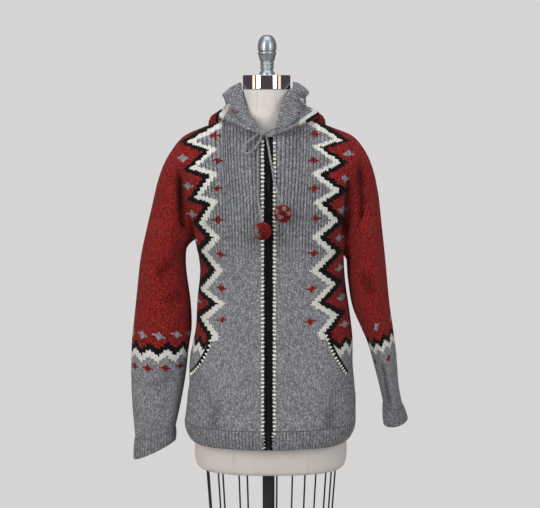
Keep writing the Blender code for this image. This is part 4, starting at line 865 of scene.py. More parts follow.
def shell(name, outer, inner, material, yarn, shade, step=1, closed=False, uv=None,
          inner_shade=INNER_SHADE):
    """A closed cloth wall between two grids of points, one face to each step, with rounded rims.

    yarn has a kind of yarn for each face, shade a painted-shade factor for each outer point, and
    step is how many stitches one column of faces is.
    """
    columns, rows = outer.shape[:2]
    rim_out = []
    for j, beside in ((rows - 1, rows - 2), (0, 1)):
        middle = (outer[:, j] + inner[:, j]) / 2
        away = unit(outer[:, j] - outer[:, beside])
        rim_out.append(middle + away * CLOTH * RIM_SHARE)
    loop = np.concatenate(
        [outer, rim_out[0][:, None], inner[:, ::-1], rim_out[1][:, None]], axis=1
    )
    around = loop.shape[1]
    spans = columns if closed else columns - 1
    i = np.arange(spans)
    k = (i + 1) % columns
    m = np.arange(around)
    n = (m + 1) % around
    quads = np.stack([
        i[:, None] * around + m[None, :], k[:, None] * around + m[None, :],
        k[:, None] * around + n[None, :], i[:, None] * around + n[None, :],
    ], axis=-1)
    outward = np.cross(loop[1, 1] - loop[0, 1], loop[0, 2] - loop[0, 1])
    flip = np.dot(outward, outer[0, 1] - inner[0, 1]) < 0
    row_of = np.concatenate([
        np.arange(rows - 1), [rows - 2, rows - 2], np.arange(rows - 2, -1, -1), [0, 0]
    ])
    if uv is None:
        across, up = np.meshgrid(
            np.arange(spans + 1) * step, np.arange(rows, dtype=float), indexing="ij"
        )
    else:
        across, up = uv
    row_at = np.concatenate([np.arange(rows), [rows - 1], np.arange(rows - 1, -1, -1), [0]])
    corner_uv = np.stack([
        np.stack([part[first : first + spans][:, row_at[at]] for part in (across, up)], -1)
        for first, at in ((0, m), (1, m), (1, n), (0, n))
    ], axis=2)
    kinds = yarn[:, row_of]
    faces = quads.reshape(-1, 4)
    uvs = corner_uv.reshape(-1, 4, 2)
    if flip:
        faces = faces[:, ::-1]
        uvs = uvs[:, ::-1]
    faces = faces.tolist()
    kinds = kinds.reshape(-1).tolist()
    uvs = uvs.reshape(-1, 2).tolist()
    if not closed:
        for edge in (0, columns - 1):
            base = edge * around
            turn = (edge == 0) != flip
            for j in range(rows - 1):
                far = around - 2 - j
                ring = [base + j, base + j + 1, base + far - 1, base + far]
                faces.append(ring if turn else ring[::-1])
                kinds.append(int(yarn[min(edge, len(yarn) - 1), j]))
                uvs.extend([(edge * step + 0.5, j + 0.5)] * 4)
            for ring in (
                [base + rows - 1, base + rows, base + rows + 1],
                [base + around - 1, base, base + around - 2],
            ):
                faces.append(ring if turn else ring[::-1])
                kinds.append(int(yarn[min(edge, len(yarn) - 1), 0]))
                uvs.extend([(edge * step + 0.5, 0.5)] * 3)
    mesh = mesh_of(name, loop.reshape(-1, 3), faces)
    corner_map(mesh, "stitches", uvs)
    per_corner = np.repeat(kinds, [len(f) for f in faces])
    colour = np.zeros((len(per_corner), 4), np.float32)
    for channel, kind in enumerate((RED, BLACK, CREAM)):
        colour[:, channel] = per_corner == kind
    colour[:, 3] = 1.0
    marks = mesh.color_attributes.new("yarn", "FLOAT_COLOR", "CORNER")
    marks.data.foreach_set("color", colour.reshape(-1))
    # Painted shade: the outer points take the given shade, and the inner face is painted darker.
    painted_shade = np.full((columns, around), INNER_SHADE, np.float32)
    painted_shade[:, :rows] = shade
    painted_shade[:, rows + 1 : 2 * rows + 1] = inner_shade
    point_shade(mesh, painted_shade)
    return settle(name, mesh, material)


def fold_shade(lift, kind):
    """Painted shade in the troughs: none in the open, more the deeper they are, down to a deepest."""
    deepest, strength = kind
    return np.clip(lift, deepest, 0) * strength


def rib_shade(wave, strength, shares):
    """Painted shade in the purl columns' furrows, the same all the way up."""
    return 1.0 - strength * np.clip(-wave, 0, 1) * np.ones_like(shares)[None, :]


def panel_courses(coarse, columns, stitches):
    """A body panel at stitch fineness, its courses even below and above the underarm."""
    fine = read_between(coarse, np.linspace(0.0, columns, stitches + 1), axis=0)
    lower = even_courses(fine, 0, LOWER_ROWS, LOWER_COURSES)
    upper = even_courses(fine, LOWER_ROWS, LOWER_ROWS + UPPER_ROWS, UPPER_COURSES)
    return np.concatenate([lower, upper[:, 1:]], axis=1)


def between(first, last, shares):
    """Courses at even shares of the way from one line of points to another."""
    return first[:, None] * (1 - shares)[None, :, None] + last[:, None] * shares[None, :, None]


def beside_zigzag(line, reach, z):
    """How far from the middle a line beside a zigzag lies at given heights, its corners kept sharp."""
    line = np.abs(np.array(line))
    ways = unit(np.diff(line, axis=0))
    outs = np.column_stack([-ways[:, 1], ways[:, 0]])
    outs *= np.sign(outs[:, :1])
    before = np.concatenate([outs[:1], outs])
    after = np.concatenate([outs, outs[-1:]])
    middle = unit(before + after)
    stretch = np.minimum(TIP_REACH, 1.0 / np.maximum((middle * after).sum(axis=1), 0.2))
    moved = line + middle * (reach * stretch)[:, None]
    order = np.argsort(moved[:, 1])
    return np.interp(z, moved[order, 1], moved[order, 0])


def band_yarn(stitch, height, middle, phase=0.0):
    """Red above, a black and a cream peaked band, and grey below."""
    share = ((stitch - phase) / BAND_PERIOD) % 1.0
    edge = middle + (1.0 - 4.0 * np.abs(share - 0.5)) * BAND_HALF_RISE
    edge = edge + STITCH_JAG * np.where(np.floor(stitch) % 2 > 0, 1.0, -1.0)
    yarn = np.where(height > edge + BLACK_THICK, RED, BLACK)
    yarn = np.where(height <= edge, CREAM, yarn)
    return np.where(height <= edge - CREAM_THICK, GREY, yarn)


def paint_diamond(yarn, column, row, kind, ground, closed=False):
    """One small diamond on the chart, where its ground shows."""
    for down, line in enumerate(DIAMOND):
        for right, mark in enumerate(line):
            i = column + right - len(line) // 2
            j = row + 2 - down
            if closed:
                i %= yarn.shape[0]
            if mark != "X" or not (0 <= i < yarn.shape[0] and 0 <= j < yarn.shape[1]):
                continue
            if yarn[i, j] == ground:
                yarn[i, j] = kind


def paint_diamond_at(yarn, centres, x, z, kind, ground):
    """One small diamond round a place on the front half, upright whatever way its stitches lean."""
    across = np.rint((centres[..., 0] - x) / DIAMOND_CELL).astype(int) + len(DIAMOND[0]) // 2
    down = len(DIAMOND) // 2 - np.rint((centres[..., 2] - z) / DIAMOND_CELL).astype(int)
    marks = np.array([[mark == "X" for mark in line] for line in DIAMOND])
    inside = (across >= 0) & (across < len(DIAMOND[0])) & (down >= 0) & (down < len(DIAMOND))
    chosen = marks[np.clip(down, 0, len(DIAMOND) - 1), np.clip(across, 0, len(DIAMOND[0]) - 1)]
    chosen = chosen & inside & (yarn == ground) & (centres[..., 1] < HOOD_FRONT_REACH)
    yarn[chosen] = kind


def nearest_stitch(centres, x, z):
    gap = np.abs(centres[..., 0] - x) + np.abs(centres[..., 2] - z)
    return np.unravel_index(np.argmin(gap), gap.shape)


def band_diamonds(yarn, centres, middle, phase, closed, every=1):
    """Grey diamonds over the band's dips and red ones under its peaks."""
    columns = yarn.shape[0]
    for k in range(-every, columns // BAND_PERIOD + 2, every):
        for shift, lift, kind, ground in (
            (0, GREY_DIAMOND_ABOVE, GREY, RED), (BAND_PERIOD // 2, -RED_DIAMOND_BELOW, RED, GREY)
        ):
            column = int(round(phase)) + k * BAND_PERIOD + shift
            if closed:
                if not phase <= column < columns + phase:
                    continue
                column %= columns
            if not 0 <= column < columns:
                continue
            height = middle[column] if np.ndim(middle) else middle
            row = int(np.argmin(np.abs(centres[column, :, 2] - height - lift)))
            paint_diamond(yarn, column, row, kind, ground, closed)


def front_yarn(side, outer):
    """The chart of one front, a kind of yarn for each stitch."""
    centres = (outer[1::2, :-1] + outer[1::2, 1:]) / 2
    line = RIGHT_ZIGZAG if side == "right" else LEFT_ZIGZAG
    slash = np.array(RIGHT_SLASH if side == "right" else LEFT_SLASH)
    height = centres[..., 2]
    out = np.abs(centres[..., 0])
    stitch = np.arange(len(centres))[:, None] + 0.5
    side_part = band_yarn(stitch, height, FRONT_BAND_Z, FRONT_BAND_PHASE)
    jag = COURSE_JAG * np.where(np.arange(height.shape[1]) % 2 > 0, 1.0, -1.0)[None, :]
    yarn = np.where(out + jag > beside_zigzag(line, -CREAM_REACH, height), CREAM, GREY)
    yarn = np.where(out + jag > beside_zigzag(line, CREAM_REACH, height), BLACK, yarn)
    yarn = np.where(out + jag > beside_zigzag(line, BLACK_REACH, height), side_part, yarn)
    opening = np.interp(height, slash[::-1, 1], slash[::-1, 0])
    below = np.where(np.abs(centres[..., 0]) > np.abs(opening), side_part, GREY)
    below = np.where(height < slash[-1, 1], GREY, below)
    yarn = np.where(height < line[-1][1], below, yarn)
    reds = RIGHT_RED_DIAMONDS if side == "right" else LEFT_RED_DIAMONDS
    greys = RIGHT_GREY_DIAMONDS if side == "right" else LEFT_GREY_DIAMONDS
    for places, kind, ground in ((reds, RED, GREY), (greys, GREY, RED)):
        for x, z in places:
            paint_diamond_at(yarn, centres, x, z, kind, ground)
    last = len(centres) - 5
    row = int(np.argmin(np.abs(centres[last, :, 2] - FRONT_BAND_Z + RED_DIAMOND_BELOW)))
    paint_diamond(yarn, last, row, RED, GREY)
    return yarn


def rib_wave(count):
    """1 on the middle of each knit column, -1 on each purl column, for lines half a stitch apart."""
    return np.sin(math.pi * (np.arange(count) / 2.0))[:, None]


def build_front(side, material):
    """A front: half a stitch to each column of faces, its ribs raised where they show."""
    grid = panel_courses(front_grid(side), FRONT_COLUMNS, 2 * FRONT_STITCHES)
    normals = grid_normals(grid, side_sign(side))
    base, lift = creased(grid, normals, ARMHOLE_CREASES[side] + FRONT_CREASES[side])
    x = np.abs(base[..., 0])
    z = base[..., 2]
    low_side = LOW_RIB_SHARE * blend(x, (0.085, 0.140)) * (1.0 - blend(z, (0.800, 0.860)))
    line = RIGHT_ZIGZAG if side == "right" else LEFT_ZIGZAG
    past = x - beside_zigzag(line, -CREAM_REACH, z)
    ribbed = blend(z, (1.03, 1.15)) * (1.0 - RIBS_UNDER_COLOURWORK * blend(past, (-0.004, 0.010)))
    strength = np.maximum(ribbed, low_side)
    wave = rib_wave(2 * FRONT_STITCHES + 1)
    outer = base + normals * (strength * wave * RIB_HEIGHT * FRONT_RIB_SHARE)[..., None]
    yarn = np.repeat(front_yarn(side, base), 2, axis=0)
    shade = 1.0 - FRONT_PURL_SHADE * strength * np.clip(-wave, 0, 1) + fold_shade(lift, FOLD_SHADE)
    return shell("front_" + side + "_cloth", outer, base - normals * CLOTH, material, yarn, shade,
                 0.5)


def build_back(material):
    grid = panel_courses(back_grid(), BACK_COLUMNS, BACK_STITCHES)
    normals = grid_normals(grid, -1.0)
    base, lift = creased(grid, normals, BACK_CREASES)
    centres = (base[:-1, :-1] + base[1:, :-1] + base[:-1, 1:] + base[1:, 1:]) / 4
    stitch = np.arange(BACK_STITCHES)[:, None] + 0.5
    yarn = band_yarn(stitch, centres[..., 2], FRONT_BAND_Z, BACK_BAND_PHASE)
    band_diamonds(yarn, centres, FRONT_BAND_Z, BACK_BAND_PHASE, False)
    shade = 1.0 + fold_shade(lift, BACK_FOLD_SHADE)
    return shell("back_cloth", base, base - normals * CLOTH, material, yarn, shade)


def armhole_ring(side):
    front = front_grid(side)
    back = back_grid()
    edge = 0 if side == "right" else -1
    upper = slice(LOWER_ROWS, LOWER_ROWS + UPPER_ROWS + 1)
    return np.concatenate([front[-1, upper][:-1], back[edge, upper][::-1][:-1]])


def left_band_height(x):
    middle, slope, most = LEFT_BAND_TILT
    return LEFT_BAND_Z + np.clip((x - middle) * slope, -most, most)


def build_sleeve(side, material):
    rows = RIGHT_SLEEVE if side == "right" else LEFT_SLEEVE
    ring = armhole_ring(side)
    coarse = np.stack([ring] + [sleeve_ring(row, len(ring)) for row in rows], axis=1)
    fine = round_between(coarse, SLEEVE_STITCHES)
    grid = even_courses(fine, 0, len(rows), SLEEVE_COURSES[side])
    normals = grid_normals(grid, -side_sign(side), closed=True)
    base, lift = creased(grid, normals, SLEEVE_CREASES[side], ARMHOLE_CREASES[side])
    after = np.roll(base, -1, axis=0)
    centres = (base[:, :-1] + after[:, :-1] + base[:, 1:] + after[:, 1:]) / 4
    stitch = np.arange(SLEEVE_STITCHES)[:, None] + 0.5
    if side == "right":
        middle, heights, phase = BAND_Z, np.full(SLEEVE_STITCHES, BAND_Z), RIGHT_SLEEVE_PHASE
    else:
        middle = left_band_height(centres[..., 0])
        near = np.argmin(np.abs(centres[..., 2] - LEFT_BAND_Z), axis=1)
        heights = left_band_height(centres[np.arange(len(near)), near, 0])
        phase = float(nearest_stitch(centres, *LEFT_SLEEVE_DIAMOND)[0] - BAND_PERIOD // 2)
    yarn = band_yarn(stitch, centres[..., 2], middle, phase)
    band_diamonds(yarn, centres, heights, phase, True, 1 if side == "right" else 2)
    shade = 1.0 + fold_shade(lift, FOLD_SHADE)
    return shell("sleeve_" + side + "_cloth", base, base - normals * CLOTH, material, yarn, shade,
                 closed=True)


def build_cuff(side, material):
    rows = RIGHT_CUFF if side == "right" else LEFT_CUFF
    columns = 4 * CUFF_RIBS[side]
    shares = np.linspace(0.0, 1.0, CUFF_COURSES[side] + 1)
    grid = between(sleeve_ring(rows[0], columns), sleeve_ring(rows[1], columns), shares)
    normals = grid_normals(grid, -side_sign(side), closed=True)
    wave = rib_wave(columns)
    swell = CUFF_SWELL * np.sin(math.pi * shares)[None, :] + CUFF_LIFT
    outer = grid + normals * (wave * RIB_HEIGHT * BAND_RIB_SHARE + swell)[..., None]
    yarn = np.full((columns, CUFF_COURSES[side]), GREY)
    shade = rib_shade(wave, PURL_SHADE, shares)
    shade[:, 0] *= CUFF_SEAM_SHADE
    return shell("cuff_" + side + "_cloth", outer, grid - normals * CLOTH, material, yarn, shade,
                 0.5, closed=True)


def build_hem(material):
    columns = 4 * HEM_RIBS
    shares = np.linspace(0.0, 1.0, HEM_COURSES + 1)
    grid = np.zeros((columns + 1, HEM_COURSES + 1, 3))
    low, high = [
        even_angles(z, zip_angle(z, "left"), 2 * math.pi - zip_angle(z, "right"), columns)
        for z in (HEM_Z, HEM_SEAM_Z)
    ]
    for j, share in enumerate(shares):
        z = HEM_Z + share * (HEM_SEAM_Z - HEM_Z)
        grid[:, j] = [body_point(a, z) for a in low * (1 - share) + high * share]
    normals = grid_normals(grid)
    wave = rib_wave(columns + 1)
    swell = HEM_SWELL * np.sin(math.pi * shares)[None, :] ** 0.7
    stitches = np.arange(columns + 1) / 2.0
    soft = HEM_WAVE * np.sin(stitches * 0.19 + 1.0)[:, None] * (1 - shares)[None, :]
    outer = grid + normals * (wave * RIB_HEIGHT * BAND_RIB_SHARE + swell + soft)[..., None]
    inner = grid - normals * (CLOTH - soft)[..., None]
    yarn = np.full((columns, HEM_COURSES), GREY)
    shade = rib_shade(wave, PURL_SHADE, shares)
    shade[:, -1] *= HEM_SEAM_SHADE
    return shell("hem_band_cloth", outer, inner, material, yarn, shade, 0.5)


def hood_grids():
    """The hood's pouch as a coarse grid, its face edge and each column's share."""
    right = front_grid("right")
    left = front_grid("left")
    back = back_grid()
    neck = slice(BACK_SHOULDER_COLUMNS, BACK_COLUMNS - BACK_SHOULDER_COLUMNS + 1)
    first = FRONT_NECK_COLUMNS + 1
    seam = np.concatenate([right[:first, -1], back[neck, -1][1:-1], left[:first, -1][::-1]])
    shares, signs = hood_shares()
    steps = np.linspace(0.0, 1.0, HOOD_ROWS + 1)
    pouch = np.zeros((len(seam), HOOD_ROWS + 1, 3))
    edge = np.zeros((len(seam), 3))
    for i, (start, share, sign) in enumerate(zip(seam, shares, signs)):
        low, out, tuck, fold, edge[i] = [hood_station(share, sign, k) for k in (1, 2, 3, 4, 5)]
        pouch[i] = spline([start, low, out, tuck, fold], steps)
    return pouch, edge, shares


def hood_side_yarn(yarn, centres):
    """The hood's own chart where its sides come forward, as it shows from the front."""
    x, y, z = centres[..., 0], centres[..., 1], centres[..., 2]
    top = np.where(x < 0, RIGHT_HOOD_PATTERN_TOP, LEFT_HOOD_PATTERN_TOP)
    shown = (y < HOOD_FRONT_REACH) & (z < top)
    edges = []
    for table in (RIGHT_HOOD_CREAM_IN, RIGHT_HOOD_CREAM_OUT, RIGHT_HOOD_BLACK_OUT):
        rows = np.array(table)[::-1]
        edges.append(np.interp(z, rows[:, 1], rows[:, 0]))
    side = np.where(x < edges[0], CREAM, GREY)
    side = np.where(x < edges[1], BLACK, side)
    side = np.where(x < edges[2], RED, side)
    out = np.where(shown & (x < 0), side, yarn)
    rows = np.array(LEFT_HOOD_PEAK)[::-1]
    gap = x - np.interp(z, rows[:, 1], rows[:, 0])
    side = np.where(gap > -LEFT_HOOD_CREAM, CREAM, GREY)
    side = np.where(gap > LEFT_HOOD_CREAM, BLACK, side)
    side = np.where(gap > LEFT_HOOD_BLACK, RED, side)
    return np.where(shown & (x > 0), side, out)


def length_uv(grid, gauge):
    """Stitch places measured along a grid's own lengths."""
    across = np.linalg.norm(np.diff(grid, axis=0), axis=2).mean(axis=1)
    across = np.concatenate([[0.0], np.cumsum(across)]) / gauge
    up = np.linalg.norm(np.diff(grid, axis=1), axis=2)
    up = np.concatenate([np.zeros((len(grid), 1)), np.cumsum(up, axis=1)], axis=1) / ROW
    return np.repeat(across[:, None], grid.shape[1], axis=1), up


def build_hood(material):
    coarse, _, shares = hood_grids()
    places = np.linspace(0, len(coarse) - 1, HOOD_STITCHES + 1)
    grid = even_courses(read_between(coarse, places, axis=0), 0, HOOD_ROWS, HOOD_COURSES)
    normals = grid_normals(grid, -1.0)
    base, lift = creased(grid, normals, HOOD_CREASES)
    half = np.interp(places, np.arange(len(shares)), shares)
    up = np.linspace(0.0, 1.0, HOOD_COURSES + 1)
    height = (up[:-1] + up[1:]) / 2
    stitch = np.arange(HOOD_STITCHES) + 0.5
    run = blend((half[:-1] + half[1:]) / 2, HOOD_BAND_RUN)
    wave = 1.0 - 4.0 * np.abs(((stitch - HOOD_MIDDLE_STITCH) / HOOD_PERIOD) % 1.0 - 0.5)
    middle = (HOOD_BAND_START + HOOD_BAND_RISE * run + HOOD_BAND_WAVE * wave * run)[:, None]
    gap = middle - height[None, :]
    yarn = np.where(gap > HOOD_CREAM_HALF, BLACK, GREY)
    yarn = np.where(gap > HOOD_BLACK_FAR, RED, yarn)
    yarn = np.where(np.abs(gap) <= HOOD_CREAM_HALF, CREAM, yarn)
    yarn = hood_side_yarn(yarn, (base[:-1, :-1] + base[1:, 1:]) / 2)
    for k in range(-8, 9):
        column = HOOD_MIDDLE_STITCH + HOOD_PERIOD * k
        if 2 < column < HOOD_STITCHES - 2 and run[column] >= 0.35:
            row = int(np.argmin(np.abs(height - middle[column, 0] - HOOD_DIAMOND_RISE)))
            paint_diamond(yarn, column, row, RED, GREY)
    shade = 1.0 + fold_shade(lift, HOOD_FOLD_SHADE)
    return shell("hood_cloth", base, base - normals * CLOTH, material, yarn, shade,
                 uv=length_uv(grid, STITCH))


def build_hood_band(material):
    coarse, edge, _ = hood_grids()
    reach = run_lengths((coarse[:, -1] + edge) / 2)
    columns = 4 * int(round(reach[-1] / HOOD_RIB))
    places = np.interp(np.linspace(0, reach[-1], columns + 1), reach, np.arange(len(coarse)))
    fold = read_between(coarse[:, -1], places, axis=0)
    rim = read_between(edge, places, axis=0)
    steps = np.linspace(0.0, 1.0, HOOD_BAND_COURSES + 1)
    grid = between(fold, rim, steps)
    normals = grid_normals(grid, -1.0)
    wave = rib_wave(columns + 1)
    full = np.minimum(1.0, np.linalg.norm(rim - fold, axis=1) / HOOD_BAND_FULL_WIDTH)[:, None]
    swell = HOOD_BAND_SWELL * np.sin(math.pi * steps)[None, :] ** 0.8 * full
    ribs = wave * RIB_HEIGHT * HOOD_RIB_SHARE * full
    outer = grid + normals * (ribs + swell)[..., None]
    inner = grid + normals * (ribs - CLOTH)[..., None]
    centres = (grid[:-1, :-1] + grid[1:, 1:]) / 2
    yarn = hood_side_yarn(np.full((columns, HOOD_BAND_COURSES), GREY), centres)
    for x, z in HOOD_RED_DIAMONDS:
        paint_diamond_at(yarn, centres, x, z, RED, GREY)
    shade = rib_shade(wave, PURL_SHADE * full, steps)
    inner_shade = rib_shade(-wave, PURL_SHADE * full, steps)
    shade[:, 0] *= HOOD_SEAM_SHADE
    return shell("hood_band_cloth", outer, inner, material, yarn, shade, 0.5,
                 inner_shade=inner_shade[:, ::-1])


class Graph:
    """Short ways to add and join a material's nodes."""

    def __init__(self, name):
        self.material = bpy.data.materials.new(name)
        self.material.use_nodes = True
        self.tree = self.material.node_tree
        self.shader = self.tree.nodes["Principled BSDF"]

    def add(self, kind, **values):
        node = self.tree.nodes.new(kind)
        for key, value in values.items():
            setattr(node, key, value)
        return node

    def put(self, socket, value):
        if isinstance(value, bpy.types.NodeSocket):
            self.tree.links.new(value, socket)
        else:
            socket.default_value = value

    def math(self, operation, a, b=0.0, c=0.0):
        node = self.add("ShaderNodeMath", operation=operation)
        for socket, value in zip(node.inputs, (a, b, c)):
            self.put(socket, value)
        return node.outputs[0]

    def times(self, a, b):
        return self.math("MULTIPLY", a, b)

    def hill(self, value):
        """0 at both ends of a stitch's arm or length and 1 in its middle."""
        return self.times(self.times(value, self.math("SUBTRACT", 1.0, value)), 4.0)

    def mix(self, share, a, b, blend_type="MIX"):
        node = self.add("ShaderNodeMix", data_type="RGBA", blend_type=blend_type)
        self.put(node.inputs[0], share)
        self.put(node.inputs[6], a)
        self.put(node.inputs[7], b)
        return node.outputs[2]

    def noise(self, vector, scale, detail=2.0, roughness=0.5):
        node = self.add("ShaderNodeTexNoise")
        if vector is not None:
            self.put(node.inputs["Vector"], vector)
        node.inputs["Scale"].default_value = scale
        node.inputs["Detail"].default_value = detail
        node.inputs["Roughness"].default_value = roughness
        return node.outputs["Fac"]

    def ramp(self, value, stops):
        node = self.add("ShaderNodeValToRGB")
        while len(node.color_ramp.elements) < len(stops):
            node.color_ramp.elements.new(0.5)
        for element, (place, colour) in zip(node.color_ramp.elements, stops):
            element.position = place
            element.color = (*colour, 1.0)
        self.put(node.inputs[0], value)
        return node.outputs[0]

    def bump(self, height, strength, distance):
        node = self.add("ShaderNodeBump")
        node.inputs["Strength"].default_value = strength
        node.inputs["Distance"].default_value = distance
        self.put(node.inputs["Height"], height)
        return node.outputs[0]

    def place(self):
        return self.add("ShaderNodeTexCoord").outputs["Object"]

    def split_map(self, name):
        """A map's place and its two numbers."""
        where = self.add("ShaderNodeUVMap", uv_map=name).outputs[0]
        parts = self.add("ShaderNodeSeparateXYZ")
        self.put(parts.inputs[0], where)
        return where, parts.outputs[0], parts.outputs[1]

    def shaded(self, colour):
        """A colour made darker by the mesh's own painted shade."""
        return self.mix(1.0, colour, self.shade(), "MULTIPLY")

    def shade(self):
        return self.add("ShaderNodeAttribute", attribute_name="shade").outputs["Fac"]

    def finish(self, colour, normal=None, roughness=0.8, metallic=0.0, sheen=0.0, specular=0.5):
        self.put(self.shader.inputs["Base Color"], colour)
        if normal is not None:
            self.put(self.shader.inputs["Normal"], normal)
        self.put(self.shader.inputs["Roughness"], roughness)
        self.shader.inputs["Metallic"].default_value = metallic
        self.shader.inputs["Sheen Weight"].default_value = sheen
        self.shader.inputs["Sheen Roughness"].default_value = 0.5
        self.shader.inputs["Specular IOR Level"].default_value = specular
        return self.material


def yarn_colours(g, vector, per_stitch, fine):
    """The four yarns' own colours: grey melange, flecked red, black and cream."""
    grey = g.ramp(per_stitch, [
        (0.0, (0.045, 0.050, 0.062)), (0.35, (0.170, 0.180, 0.200)), (0.70, (0.305, 0.318, 0.336)),
        (1.0, (0.660, 0.670, 0.680)),
    ])
    grey = g.mix(0.45, grey, g.ramp(fine, [
        (0.30, (0.032, 0.038, 0.056)), (0.50, (0.240, 0.252, 0.272)), (0.68, (0.720, 0.728, 0.730)),
    ]))
    red = g.ramp(per_stitch, [
        (0.0, (0.105, 0.004, 0.005)), (0.5, (0.230, 0.010, 0.011)), (1.0, (0.340, 0.019, 0.018)),
    ])
    fleck = g.math("GREATER_THAN", g.noise(vector, 1.7, 1.0), 0.685)
    red = g.mix(g.times(fleck, 0.70), red, (0.700, 0.230, 0.110, 1.0))
    fleck_two = g.math("GREATER_THAN", g.noise(vector, 3.1, 0.0), 0.74)
    red = g.mix(g.times(fleck_two, 0.5), red, (0.62, 0.30, 0.28, 1.0))
    black = g.ramp(fine, [(0.3, (0.0025, 0.0025, 0.003)), (0.75, (0.010, 0.010, 0.012))])
    cream = g.ramp(per_stitch, [(0.0, (0.700, 0.690, 0.630)), (1.0, (0.900, 0.890, 0.840))])
    return grey, red, black, cream


def knit_material(name):
    """Hand-knit wool: each unit of the stitches map is one stitch of two leaning arms."""
    g = Graph(name)
    where, u, v = g.split_map("stitches")
    arm = g.math("ABSOLUTE", g.math("MULTIPLY_ADD", g.math("FRACT", u), 2.0, -1.0))
    lean = g.math("MULTIPLY_ADD", arm, -STITCH_SLANT, v)
    height = g.math("POWER", g.times(g.hill(arm), g.hill(g.math("FRACT", lean))), 0.5)
    key = g.add("ShaderNodeCombineXYZ")
    g.put(key.inputs[0], g.math("FLOOR", g.times(u, 2.0)))
    g.put(key.inputs[1], g.math("FLOOR", lean))
    white = g.add("ShaderNodeTexWhiteNoise", noise_dimensions="2D")
    g.put(white.inputs["Vector"], key.outputs[0])
    fine = g.noise(where, 2.6, 3.0, 0.70)
    yarns = yarn_colours(g, where, white.outputs["Value"], fine)
    kinds = g.add("ShaderNodeSeparateColor")
    g.put(kinds.inputs[0], g.add("ShaderNodeAttribute", attribute_name="yarn").outputs["Color"])
    colour = yarns[GREY]
    for kind in (RED, BLACK, CREAM):
        colour = g.mix(kinds.outputs[kind - 1], colour, yarns[kind])
    # Painted shade: the colour is darkened in the gaps between each stitch's arms, and by the mesh's
    # painted shade of purl columns, folds, seams and inner face
    depth = g.times(g.math("MULTIPLY_ADD", height, 0.66, 0.42), g.shade())
    colour = g.mix(1.0, colour, depth, "MULTIPLY")
    relief = g.math("MULTIPLY_ADD", g.noise(where, 9.0, 2.0, 0.6), 0.35, height)
    return g.finish(colour, g.bump(relief, 0.85, 0.0011), 0.95, sheen=0.03, specular=0.08)


def wool_material(name, low, high, scale=900.0):
    """Plain spun wool for small pieces, its colour and fibres from the piece's own place."""
    g = Graph(name)
    where = g.place()
    colour = g.ramp(g.noise(where, scale * 0.45, 3.0, 0.6), [(0.30, low), (0.70, high)])
    normal = g.bump(g.noise(where, scale * 1.6, 2.0, 0.6), 0.5, 0.0006)
    return g.finish(colour, normal, 0.92, sheen=0.04, specular=0.10)


def pompom_material():
    g = Graph("pompom_wool")
    marks = g.add("ShaderNodeAttribute", attribute_name="tuft")
    tone = g.noise(g.place(), 900.0, 2.0, 0.6)
    colour = g.mix(1.0, marks.outputs["Color"], g.math("MULTIPLY_ADD", tone, 0.9, 0.55), "MULTIPLY")
    return g.finish(colour, g.bump(tone, 0.4, 0.0005), 0.94, sheen=0.03, specular=0.08)


def linen_material():
    """Fine linen: over and under threads from the form's own height and turn."""
    g = Graph("form_linen")
    _, turn, rise = g.split_map("threads")
    warp, weft = [g.math("SINE", g.times(way, 2 * math.pi / LINEN_THREAD)) for way in (turn, rise)]
    cloudy = g.noise(g.place(), 14.0, 3.0, 0.5)
    slub = g.noise(g.place(), 420.0, 2.0, 0.5)
    colour = g.ramp(cloudy, [(0.30, (0.560, 0.520, 0.490)), (0.70, (0.620, 0.582, 0.552))])
    streaks = g.ramp(slub, [(0.35, (0.50, 0.46, 0.43)), (0.65, (0.66, 0.62, 0.59))])
    colour = g.shaded(g.mix(0.25, colour, streaks))
    normal = g.bump(g.math("MULTIPLY_ADD", g.times(warp, weft), 0.25, slub), 0.25, 0.0004)
    return g.finish(colour, normal, 0.82, sheen=0.08, specular=0.3)


def chrome_material():
    g = Graph("cap_chrome")
    smear = g.noise(g.place(), 60.0, 3.0, 0.5)
    rough = g.math("MULTIPLY_ADD", smear, 0.05, 0.02)
    colour = g.ramp(smear, [(0.3, (0.80, 0.80, 0.81)), (0.7, (0.86, 0.86, 0.87))])
    return g.finish(colour, None, rough, 1.0)


def satin_material():
    g = Graph("finial_satin")
    cloud = g.noise(g.place(), 90.0, 3.0, 0.5)
    grain = g.noise(g.place(), 1200.0, 1.0, 0.5)
    colour = g.ramp(cloud, [(0.3, (0.300, 0.335, 0.375)), (0.7, (0.370, 0.405, 0.445))])
    rough = g.math("MULTIPLY_ADD", grain, 0.12, 0.28)
    return g.finish(colour, g.bump(grain, 0.15, 0.0002), rough, 0.65)


def black_material(name, base, rough_low, metallic=0.0):
    g = Graph(name)
    cloud = g.noise(g.place(), 45.0, 3.0, 0.6)
    grain = g.noise(g.place(), 1500.0, 1.0, 0.5)
    bright = tuple(c * 1.8 + 0.004 for c in base)
    colour = g.ramp(cloud, [(0.3, base), (0.75, bright)])
    rough = g.math("MULTIPLY_ADD", cloud, 0.18, rough_low)
    return g.finish(colour, g.bump(grain, 0.12, 0.0002), rough, metallic)


def floor_material():
    g = Graph("studio_floor")
    cloud = g.noise(g.place(), 1.2, 3.0, 0.5)
    fine = g.noise(g.place(), 60.0, 2.0, 0.5)
    colour = g.ramp(cloud, [(0.3, (0.62, 0.61, 0.60)), (0.7, (0.66, 0.65, 0.64))])
    return g.finish(colour, g.bump(fine, 0.05, 0.002), 0.7)


def front_face(column, x, z):
    """The front's depth at a place near its middle."""
    depth = np.interp(z, column[:, 2], column[:, 1])
    return depth * (1.0 - abs(x / CHEST_HALF) ** CHEST_SQUARENESS) ** (1 / CHEST_SQUARENESS)


def over_front(column, route, off):
    return np.array([(x, front_face(column, x, z) - off - lift, z) for x, z, lift in route])


def from_knot(middle, toward):
    way = unit(toward - middle)
    near = KNOT_RADIUS + CORD_OFF_KNOT
    return np.array([middle + way * near, middle + way * (near + CORD_DIAMETER)])


